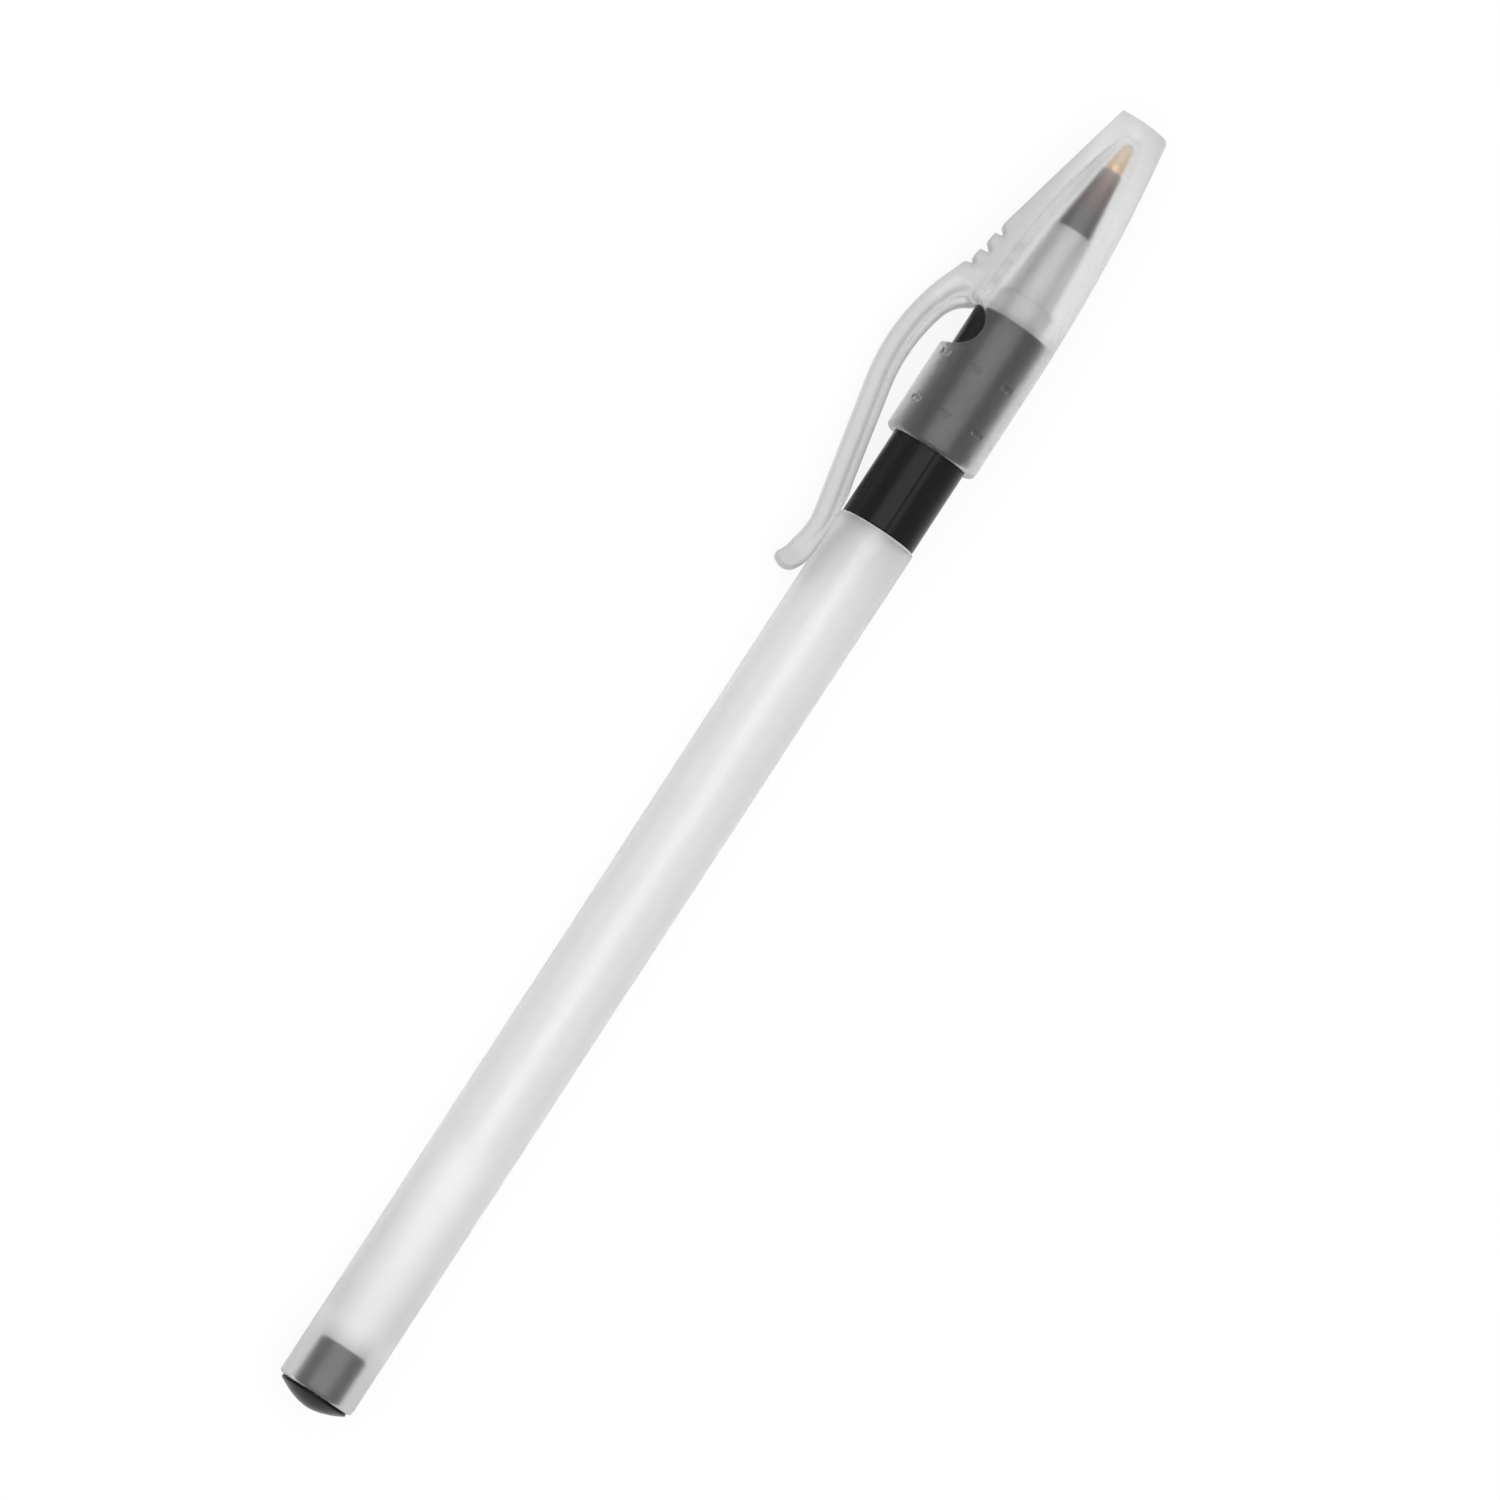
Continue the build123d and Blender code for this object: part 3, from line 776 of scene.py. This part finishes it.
cap_mouth_x = 109.3
cap_straight_x = 120.6
cap_end_x = 147.6
collar_r = 5.02
cap_end_r = 2.95
cap_bore_r = 4.17
cap_seat_x = 124.4
cap_bore_end_x = 145.8
mouth_lead = 0.2
mouth_round = 0.5
end_chamfer = 0.25
end_round = 0.08
seat_slope = 2.5
seat_step = 0.2
seat_round = 0.25
bore_fillet = 0.3
tip_bore_arc_x = 124.755
tip_bore_arc_centre = -65.37
tip_bore_arc_r = 69.34
pip_count = 7
pip_turn = math.radians(29)
pip_middle_x = 115.55
pip_ring_reach = 2.65
pip_half_width = 0.3
pip_half_run = 0.45
pip_end_r = 0.25
pip_height = 0.11
window_x = 121.7
window_height = 4.72
window_r = 2.5
window_round = 0.3
clip_half_width = 2.2
rib_half_width = 1.2
rib_top_depth = 0.5
rib_foot_depth = 1.95
rib_arch_depth = 2.1
rib_root_depth = 2.4
plate_thickness = 1.15
plate_past_root = math.radians(2)
crown_x = 116.7
crown_height = 9.42
arch_r = 21.5
root_run = 9.8
root_angle = math.asin(root_run / arch_r)
slope = math.radians(11.9)
web_angle = math.radians(13.0)
web_before_seat = 0.6
rib_end_x = 127.0
foot_r = 7.8
foot_height = 13.75
foot_depth = 2.2
foot_flare = 3.0
foot_overlap = math.radians(28)
pad_height = 4.28
pad_round = 0.25
lip_angle = math.radians(-34.3)
lip_round = 1.6
fin_leave = math.radians(16)
fin_foot_x = 125.3
fin_foot_height = 4.8
fin_sunk = 0.6
fin_overlap = math.radians(1)
fin_rise = 1.08
fin_fall = 3.7 / 15.7
tooth_count = 3
tooth_pitch = 2.1
tooth_depth = 1.0
tooth_flat = 0.55
tooth_ramp = 0.65
fin_fillet = 2.0
rib_fillet = 1.0
plate_fillet = 1.9
root_fillet = 0.9
edge_round = 0.3
crest_round = 0.12

arch_height = crown_height - arch_r
slope_drop = arch_height + arch_r * math.cos(slope) - (foot_height - foot_r * math.cos(slope))
foot_x = crown_x - (arch_r + foot_r) * math.sin(slope) - slope_drop / math.tan(slope)


def arch_point(angle, depth):
    """A point of the clip's arch, by its angle from the crown towards the tip and its depth in the arm."""
    return crown_x + (arch_r - depth) * math.sin(angle), arch_height + (arch_r - depth) * math.cos(angle)


def foot_point(angle, depth):
    """A point of the clip's foot, by its angle from the lowest point towards the tip and its depth."""
    return foot_x + (foot_r + depth) * math.sin(angle), foot_height - (foot_r + depth) * math.cos(angle)


def sweep(point, start, end, depth, end_depth):
    """Points along one of the clip's arcs, from one depth to another."""
    step = math.radians(1.5)
    steps = max(2, math.ceil(abs(end - start) / step))
    shares = [k / steps for k in range(steps + 1)]
    return [point(start + (end - start) * s, depth + (end_depth - depth) * s) for s in shares]


def arm_outline(top, foot_depth, arch_depth, root_depth, root_end):
    """The arm from its root to the start of its foot. It gets deeper from the foot to the root."""
    into_foot = slope - foot_overlap
    outline = sweep(arch_point, root_angle, -slope, top, top)
    outline += sweep(foot_point, slope, into_foot, top, top)
    outline += sweep(foot_point, into_foot, slope, foot_depth, foot_depth)
    outline += sweep(arch_point, -slope, root_end, arch_depth, root_depth)
    return outline


def bend_to(angle, run, drop):
    """Radius and turn of an arc that leaves the arch at an angle and ends after a run and a drop."""
    radius = (run**2 + drop**2) / (2 * (drop * math.cos(angle) - run * math.sin(angle)))
    return radius, 2 * math.asin(math.hypot(run, drop) / (2 * radius))


def bend_points(x, height, angle, radius, turn):
    """Points along such an arc, after its start."""
    steps = 16
    ways = [angle + turn * k / steps for k in range(1, steps + 1)]
    return [
        (x + radius * (math.sin(a) - math.sin(angle)), height + radius * (math.cos(a) - math.cos(angle)))
        for a in ways
    ]


web_x, web_height = arch_point(web_angle, rib_root_depth)
web_r, web_turn = bend_to(web_angle, cap_seat_x - web_before_seat - web_x, web_height - cap_bore_r)
plate_outline = arm_outline(
    0.0, plate_thickness, plate_thickness, plate_thickness, root_angle + plate_past_root
)
rib_outline = arm_outline(rib_top_depth, rib_foot_depth, rib_arch_depth, rib_root_depth, web_angle)
rib_outline += bend_points(web_x, web_height, web_angle, web_r, web_turn)
rib_outline += [(rib_end_x, cap_bore_r)]

fin_back = arch_point(root_angle, 0.0)
fin_front_x = fin_back[0] + (tooth_count - 1) * tooth_pitch + tooth_flat + tooth_ramp
fin_front_height = collar_r + fin_rise
crest_fall = (fin_back[1] - fin_front_height) / (fin_front_x - fin_back[0])
fin_left_x, fin_left_height = arch_point(fin_leave, plate_thickness)
fin_left_r, fin_left_turn = bend_to(
    fin_leave, fin_foot_x - fin_left_x, fin_left_height - fin_foot_height
)
fin_outline = [(fin_foot_x, 0.0)]
fin_outline += reversed(bend_points(fin_left_x, fin_left_height, fin_leave, fin_left_r, fin_left_turn))
fin_outline += sweep(arch_point, fin_leave, root_angle - fin_overlap, fin_sunk, fin_sunk)
for notch in range(tooth_count):
    drop_x = fin_back[0] + notch * tooth_pitch
    crest = fin_back[1] - notch * tooth_pitch * crest_fall
    fin_outline += [
        (drop_x, crest),
        (drop_x, crest - tooth_depth),
        (drop_x + tooth_flat, crest - tooth_depth),
        (drop_x + tooth_flat + tooth_ramp, crest - (tooth_flat + tooth_ramp) * crest_fall),
    ]
fin_outline += [(cap_end_x, fin_front_height - fin_fall * (cap_end_x - fin_front_x)), (cap_end_x, 0.0)]


def outline_distance(x, u, outline):
    """Distance from a closed outline in the side plane, negative inside it."""
    shape = np.broadcast(x, u).shape
    nearest = np.full(shape, np.inf)
    inside = np.zeros(shape, bool)
    for (ax, au), (bx, bu) in zip(outline, outline[1:] + outline[:1]):
        ex, eu = bx - ax, bu - au
        share = np.clip(((x - ax) * ex + (u - au) * eu) / (ex * ex + eu * eu), 0, 1)
        nearest = np.minimum(nearest, (x - ax - share * ex) ** 2 + (u - au - share * eu) ** 2)
        if eu:
            inside ^= ((au > u) != (bu > u)) & (x < ax + (u - au) * ex / eu)
    return np.where(inside, -1.0, 1.0) * np.sqrt(nearest)


def joined(a, b, soft):
    """Two shapes as one, with a fillet where they meet."""
    near = np.maximum(soft - np.abs(a - b), 0.0) / soft
    return np.minimum(a, b) - near * near * soft / 4


def shared(a, b, soft):
    """What lies in both shapes, with its edge rounded."""
    rounded = np.hypot(np.maximum(a + soft, 0.0), np.maximum(b + soft, 0.0))
    return np.minimum(np.maximum(a, b), -soft) * (rounded == 0) + (rounded - soft) * (rounded > 0)


def round_distance(x, r):
    """Distance from the cap's round outside, by the place along the pen and the radius."""
    taper_run = cap_end_x - cap_straight_x
    taper_drop = collar_r - cap_end_r
    taper_r = (taper_run**2 + taper_drop**2) / (2 * taper_drop)
    taper = np.hypot(x - cap_straight_x, r - collar_r + taper_r) - taper_r
    return np.where(x > cap_straight_x, taper, r - collar_r)


def lump_distances(x, u, w):
    """Distances from the fin, from the clip's rib, and from its plate with the foot."""
    side = np.abs(w) - clip_half_width
    fin = shared(outline_distance(x, u, fin_outline), side, edge_round)
    rib = shared(outline_distance(x, u, rib_outline), np.abs(w) - rib_half_width, edge_round)
    rib = shared(rib, pad_height - u, pad_round)
    foot_way = np.hypot(x - foot_x, u - foot_height)
    lip = -(x - foot_x) * math.cos(lip_angle) - (u - foot_height) * math.sin(lip_angle)
    foot = shared(foot_way - foot_r - foot_depth, lip, lip_round)
    foot = shared(foot, foot_r - foot_way, edge_round)
    start = (x - foot_x) * math.cos(slope) + (u - foot_height) * math.sin(slope)
    start = (start + foot_flare * np.maximum(np.abs(w) - rib_half_width, 0.0)) / math.hypot(1, foot_flare)
    foot = np.maximum(foot, np.maximum(start, u - foot_height))
    foot = shared(shared(foot, pad_height - u, pad_round), side, edge_round)
    plate = shared(outline_distance(x, u, plate_outline), side, edge_round)
    return fin, rib, np.minimum(plate, foot)


def bore_distance(x, r):
    """Distance from the cap's bore: a lead, a straight run on the grip, a seat and a taper at the tip."""
    wide = r - cap_bore_r
    seat_cone = (x - cap_seat_x + seat_slope * (wide + seat_step)) / math.hypot(1, seat_slope)
    straight_bore = shared(wide, seat_cone, seat_round)
    lead = np.maximum((wide - mouth_lead + x - cap_mouth_x) / math.sqrt(2), wide - mouth_lead)
    tip_arc = np.hypot(x - tip_bore_arc_x, r - tip_bore_arc_centre) - tip_bore_arc_r
    tip_bore = np.maximum(tip_arc, x - cap_bore_end_x)
    return np.minimum(joined(straight_bore, tip_bore, bore_fillet), lead)


def pip_distance(x, u, w):
    """Distance from the two rings of rounded pips in the bore."""
    r = np.hypot(u, w)
    pitch = math.tau / pip_count
    turned = np.mod(np.arctan2(w, u) - pip_turn + pitch / 2, pitch) - pitch / 2
    along = (np.abs(x - pip_middle_x) - pip_ring_reach) / pip_half_width
    across = np.maximum(np.abs(turned * r) - pip_half_run, 0.0) / pip_end_r
    up = (r - cap_bore_r) / pip_height
    return (np.sqrt(along**2 + across**2 + up**2) - 1.0) * pip_height


def cap_distance(x, u, w):
    """Distance from the cap's skin, negative in the plastic. u points along the clip and w to the side."""
    r = np.hypot(u, w)
    body = shared(round_distance(x, r), cap_mouth_x - x, mouth_round)
    window = window_r - np.hypot(x - window_x, u - window_height)
    body = shared(body, window, window_round)
    end_cone = (x - cap_end_x + r - cap_end_r + end_chamfer) / math.sqrt(2)
    body = shared(body, end_cone, end_round)
    fin, rib, plate = lump_distances(x, u, w)
    core = joined(body, fin, fin_fillet)
    crest = (u - fin_front_height + fin_fall * (x - fin_front_x)) / math.hypot(1, fin_fall)
    core = shared(core, crest, crest_round)
    core = shared(core, x - cap_end_x, end_round)
    arm = np.minimum(plate, joined(rib, plate, plate_fillet))
    whole = joined(joined(core, rib, rib_fillet), arm, root_fillet)
    whole = shared(whole, -bore_distance(x, r), end_round)
    return np.minimum(whole, pip_distance(x, u, w))


def skin_mesh(distance, lows, highs, step):
    """A closed skin of four-sided faces where a distance is zero: one corner in each cell of a grid that
    the skin crosses, moved evenly apart and back onto the skin."""
    evenings = 4
    returns = 2
    axes = [np.arange(low, high + step, step) for low, high in zip(lows, highs)]
    field = distance(axes[0][:, None, None], axes[1][None, :, None], axes[2][None, None, :])
    inside = field < 0
    sizes = np.array(inside.shape)
    steps = np.eye(3, dtype=int)
    filled = np.zeros(sizes - 1, np.int8)
    for corner in np.ndindex(2, 2, 2):
        filled += inside[tuple(slice(c, n - 1 + c) for c, n in zip(corner, sizes))]
    crossed = (filled > 0) & (filled < 8)
    number = np.full(crossed.shape, -1)
    number[crossed] = np.arange(crossed.sum())
    cells = np.argwhere(crossed)
    total = np.zeros((len(cells), 3))
    count = np.zeros(len(cells))
    quads = []
    for axis in range(3):
        one, two = steps[(axis + 1) % 3], steps[(axis + 2) % 3]
        for shift in (0 * one, one, two, one + two):
            near = field[tuple((cells + shift).T)]
            far = field[tuple((cells + shift + steps[axis]).T)]
            cut = (near < 0) != (far < 0)
            share = near / np.where(cut, near - far, 1.0)
            total += cut[:, None] * (shift + share[:, None] * steps[axis])
            count += cut
        before = np.delete(inside, -1, axis)
        after = np.delete(inside, 0, axis)
        edges = np.argwhere(before != after)
        leaving = before[tuple(edges.T)]
        ring = [number[tuple((edges - s).T)] for s in (0 * one, one, one + two, two)]
        ring = np.stack(ring, 1)
        quads.append(np.where(leaving[:, None], ring, ring[:, ::-1]))
    quads = np.concatenate(quads)
    points = np.array(lows) + step * (cells + total / count[:, None])
    slopes = np.stack(np.gradient(field, step), -1)
    starts = np.concatenate([quads.ravel(), np.roll(quads, -1, 1).ravel()])
    ends = np.concatenate([np.roll(quads, -1, 1).ravel(), quads.ravel()])
    share = np.bincount(starts, minlength=len(points))
    for evening in range(evenings):
        if evening:
            mean = np.stack([np.bincount(starts, points[ends, k], len(points)) for k in range(3)], 1)
            points = (points + mean / share[:, None]) / 2
        cell = np.rint((points - np.array(lows)) / step).astype(int)
        cell = np.clip(cell, 0, sizes - 1)
        way = slopes[tuple(cell.T)]
        way /= np.linalg.norm(way, axis=1)[:, None] + 1e-9
        for _ in range(returns):
            off = np.clip(distance(points[:, 0], points[:, 1], points[:, 2]), -step, step)
            points = points - off[:, None] * way
    return points, quads


cap_lows = (90.9, -5.5, -5.5)
cap_highs = (148.1, 9.9, 5.5)
cap_cell = 0.19
cap_points, cap_quads = skin_mesh(cap_distance, cap_lows, cap_highs, cap_cell)
clip_way = np.array((0.0, math.cos(rest_roll), -math.sin(rest_roll)))
clip_side = np.array((0.0, math.sin(rest_roll), math.cos(rest_roll)))
pen_way = np.array((1.0, 0.0, 0.0))
cap_places = MM * cap_points @ np.stack([pen_way, clip_way, clip_side])
cap_mesh = bpy.data.meshes.new("frosted_cap_with_clip")
cap_mesh.from_pydata(cap_places.tolist(), [], cap_quads.tolist())
cap_mesh.validate()
cap_shell = bmesh.new()
cap_shell.from_mesh(cap_mesh)
bmesh.ops.recalc_face_normals(cap_shell, faces=cap_shell.faces)
cap_shell.to_mesh(cap_mesh)
cap_shell.free()
cap_mesh.shade_smooth()
# Each corner is shaded by the field's own slope, so that what shows through the walls isn't broken up
slope_reach = 0.02
nudges = slope_reach * np.eye(3)
cap_slopes = [cap_distance(*(cap_points + d).T) - cap_distance(*(cap_points - d).T) for d in nudges]
cap_slopes = np.stack(cap_slopes, 1) @ np.stack([pen_way, clip_way, clip_side])
cap_slopes /= np.linalg.norm(cap_slopes, axis=1)[:, None] + 1e-12
cap_mesh.normals_split_custom_set_from_vertices(cap_slopes.tolist())
# How milky the skin is at each corner, from 0 to 1. The fin, the clip, the skirt under the fin, the seat,
# the pips and the closed end are thick, and so more milky than the walls, which thicken towards the end
lump_fade = 0.9
fin_milk_height = 3.6
wall_milk = 0.2
wall_thin = 1.0
wall_span = 2.5
end_milk = 0.7
end_milk_x = 139.0
end_milk_power = 1.2
skirt_milk = 0.6
skirt_reach = 0.9
skirt_fade = 1.2
skirt_height = 2.8
skirt_lead = 0.6
seat_milk = 0.6
seat_milk_x = 124.35
seat_inner_r = 3.2
seat_fade = 0.3
pip_milk = 0.7
skin_fade = 0.1
cap_x, cap_u, cap_w = cap_points.T
cap_r = np.hypot(cap_u, cap_w)
fin_near, rib_near, plate_near = lump_distances(cap_x, cap_u, cap_w)
lump_near = np.minimum(np.maximum(fin_near, fin_milk_height - cap_u), np.minimum(rib_near, plate_near))
lump_share = 1.0 - lump_near / lump_fade
wall = bore_distance(cap_x, cap_r) - round_distance(cap_x, cap_r)
wall_share = wall_milk * np.clip((wall - wall_thin) / wall_span, 0.0, 1.0)
end_way = np.clip((cap_x - end_milk_x) / (cap_end_x - end_milk_x), 0.0, 1.0)
end_share = end_milk * end_way**end_milk_power
skirt_share = np.minimum(1.0 - (fin_near - skirt_reach) / skirt_fade, 1.0 - (skirt_height - cap_u))
skirt_share = skirt_milk * np.minimum(skirt_share, (cap_x - cap_seat_x) / skirt_lead)
seat_share = np.where(cap_r > seat_inner_r, seat_milk - np.abs(cap_x - seat_milk_x) / seat_fade, 0.0)
pip_share = pip_milk - pip_distance(cap_x, cap_u, cap_w) / skin_fade
bore_share = np.clip(1.0 - np.abs(bore_distance(cap_x, cap_r)) / skin_fade, 0.0, 1.0)
outer_share = np.max([lump_share, wall_share, end_share, skirt_share], axis=0)
milk_share = np.maximum(outer_share * (1.0 - bore_share), np.maximum(seat_share * bore_share, pip_share))
cap_thickness = cap_mesh.attributes.new("thickness", "FLOAT", "POINT")
cap_thickness.data.foreach_set("value", np.clip(milk_share, 0.0, 1.0))
# The bore has a skin of its own
cap_inside = cap_mesh.attributes.new("inside", "FLOAT", "POINT")
cap_inside.data.foreach_set("value", bore_share)
cap = bpy.data.objects.new("frosted_cap_with_clip", cap_mesh)
bpy.context.scene.collection.objects.link(cap)
cap_see_through = 0.99
cap_plastic, cap_shader = frosted_polypropylene(
    "frosted_polypropylene_cap",
    tones=("#FBFBFB", "#FFFFFF"),
    see_through=cap_see_through,
    matt=0.24,
    cast=0.033,
)
lump_tree = cap_plastic.node_tree
lumps = add_node(lump_tree, "ShaderNodeAttribute", attribute_name="thickness").outputs["Fac"]
cap_milk = cap_shader.inputs["Base Color"].links[0].from_socket
lump_milk = add_node(
    lump_tree,
    "ShaderNodeMix",
    {"Factor": lumps, 6: cap_milk, 7: linear("#BABABA")},
    data_type="RGBA",
    blend_type="MULTIPLY",
).outputs[2]
lump_tree.links.new(lump_milk, cap_shader.inputs["Base Color"])
# Past the seat the skin and the bore are smoother, so that the nose shows clearly. The collar's bore is
# dull, and so are the thickest places
collar_ends_x = 124.5
taper_starts_x = 127.0
taper_gain = -0.02
collar_bore_matt = 0.32
taper_bore_matt = 0.25
lump_power = 3.0
lump_gain = 0.18
collar_dull = cap_shader.inputs["Roughness"].links[0].from_socket
cap_place = add_node(lump_tree, "ShaderNodeTexCoord").outputs["Object"]
cap_along = add_node(lump_tree, "ShaderNodeSeparateXYZ", {0: cap_place}).outputs["X"]
past_seat = {"Value": cap_along, "From Min": collar_ends_x * MM, "From Max": taper_starts_x * MM}
taper_dull = add_node(
    lump_tree, "ShaderNodeMapRange", past_seat | {"To Min": 0.0, "To Max": taper_gain}
).outputs[0]
cap_dull = add_node(
    lump_tree, "ShaderNodeMath", {0: collar_dull, 1: taper_dull}, operation="ADD"
).outputs[0]
lump_core = add_node(
    lump_tree, "ShaderNodeMath", {0: lumps, 1: lump_power}, operation="POWER"
).outputs[0]
lump_dull = add_node(
    lump_tree, "ShaderNodeMath", {0: lump_core, 1: lump_gain, 2: cap_dull}, operation="MULTIPLY_ADD"
).outputs[0]
cap_bore_side = add_node(lump_tree, "ShaderNodeAttribute", attribute_name="inside").outputs["Fac"]
cap_bore_dull = add_node(
    lump_tree, "ShaderNodeMapRange", past_seat | {"To Min": collar_bore_matt, "To Max": taper_bore_matt}
).outputs[0]
cap_matt = add_node(
    lump_tree, "ShaderNodeMix", {"Factor": cap_bore_side, 2: lump_dull, 3: cap_bore_dull}
).outputs[0]
lump_tree.links.new(cap_matt, cap_shader.inputs["Roughness"])
lump_see_through = 0.25
lump_clear = add_node(
    lump_tree,
    "ShaderNodeMapRange",
    {"Value": lumps, "To Min": cap_see_through, "To Max": lump_see_through},
).outputs[0]
# Light that is already in the plastic leaves it freely, but for the pips and the seat in the bore
from_inside = add_node(lump_tree, "ShaderNodeNewGeometry").outputs["Backfacing"]
leaving = add_node(
    lump_tree, "ShaderNodeMath", {0: from_inside, 1: cap_bore_side}, operation="GREATER_THAN"
).outputs[0]
cap_clear = add_node(
    lump_tree, "ShaderNodeMath", {0: lump_clear, 1: leaving}, operation="MAXIMUM"
).outputs[0]
lump_tree.links.new(cap_clear, cap_shader.inputs["Transmission Weight"])
cap_mesh.materials.append(cap_plastic)
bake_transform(cap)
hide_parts("cap", "cap_clip")


# Table. A plain white board under the pen, which the camera sees as the white of the background. To the
# camera, in gloss and through plastic it glows at the level of white, and a soft shadow is left on it.

table_height = -5.05
table_reach = 4.0
table_mesh = bpy.data.meshes.new("white_table")
table_signs = [(-1, -1), (1, -1), (1, 1), (-1, 1)]
table_corners = [(a * table_reach, b * table_reach, table_height * MM) for a, b in table_signs]
table_mesh.from_pydata(table_corners, [], [(0, 1, 2, 3)])
table = bpy.data.objects.new("white_table", table_mesh)
bpy.context.scene.collection.objects.link(table)
# Matt white, with no shine of its own
board, board_tree = blank_material("white_melamine_board")
board_seen_glow = 0.88
board_paint = add_node(board_tree, "ShaderNodeBsdfDiffuse", {"Color": linear("#F4F4F4")}).outputs[0]
board_glow = add_node(
    board_tree, "ShaderNodeEmission", {"Color": linear("#FFFFFF"), "Strength": 1.0}
).outputs[0]
rays = add_node(board_tree, "ShaderNodeLightPath").outputs
glossed = add_node(
    board_tree, "ShaderNodeMath", {0: rays["Is Camera Ray"], 1: rays["Is Glossy Ray"]}, operation="MAXIMUM"
).outputs[0]
seen_glow = add_node(
    board_tree, "ShaderNodeMath", {0: glossed, 1: board_seen_glow}, operation="MULTIPLY"
).outputs[0]
glow_share = add_node(
    board_tree, "ShaderNodeMath", {0: seen_glow, 1: rays["Is Transmission Ray"]}, operation="MAXIMUM"
).outputs[0]
board_seen = add_node(
    board_tree, "ShaderNodeMixShader", {0: glow_share, 1: board_paint, 2: board_glow}
).outputs[0]
add_node(board_tree, "ShaderNodeOutputMaterial", {"Surface": board_seen})
table_mesh.materials.append(board)


# Light and camera. One large soft box behind the camera, a low even room light, and the camera square to
# the pen's side with a slight lean towards the tail, the pen running up to the right in the picture.

scene = bpy.context.scene
scene.view_settings.view_transform = "Standard"
scene.cycles.max_bounces = 24
scene.cycles.transmission_bounces = 24
scene.cycles.glossy_bounces = 8

view_lean = math.radians(4.6)
view_turn = math.radians(56.87)
view_width = 145.8
view_reach = 1200.0
view_middle_x = 75.4
view_middle_height = -1.22
view_middle = Vector(MM * (view_middle_x * pen_way + view_middle_height * clip_way))
towards_camera = Vector(math.cos(view_lean) * clip_side - math.sin(view_lean) * pen_way)
pen_in_view = (Vector(pen_way) - towards_camera * towards_camera.x).normalized()
beside_pen = towards_camera.cross(pen_in_view)
right = math.cos(view_turn) * pen_in_view - math.sin(view_turn) * beside_pen
up = math.sin(view_turn) * pen_in_view + math.cos(view_turn) * beside_pen
camera_data = bpy.data.cameras.new("camera")
camera_data.sensor_width = 36.0
camera_data.lens = camera_data.sensor_width * view_reach / view_width
camera_data.clip_start = 0.01
camera_data.clip_end = 20.0
camera = bpy.data.objects.new("camera", camera_data)
scene.collection.objects.link(camera)
camera_turn = Matrix((right, up, towards_camera)).transposed().to_4x4()
camera_place = view_middle + towards_camera * view_reach * MM
camera.matrix_world = Matrix.Translation(camera_place) @ camera_turn
scene.camera = camera

# The box is in metres, and its level is that of its face
box_reach = 1.25
box_width = 1.69
box_level = 1.53
box_data = bpy.data.lights.new("soft_box", "AREA")
box_data.shape = "DISK"
box_data.size = box_width
box_data.energy = box_level * math.pi * math.pi * (box_width / 2) ** 2
box = bpy.data.objects.new("soft_box", box_data)
scene.collection.objects.link(box)
box.matrix_world = Matrix.Translation(view_middle + towards_camera * box_reach) @ camera_turn

room_level = 0.77
room = bpy.data.worlds.new("room")
room.use_nodes = True
room_tree = room.node_tree
room_tree.nodes.clear()
room_light = add_node(
    room_tree, "ShaderNodeBackground", {"Color": linear("#FFFFFF"), "Strength": room_level}
).outputs[0]
add_node(room_tree, "ShaderNodeOutputWorld", {"Surface": room_light})
scene.world = room
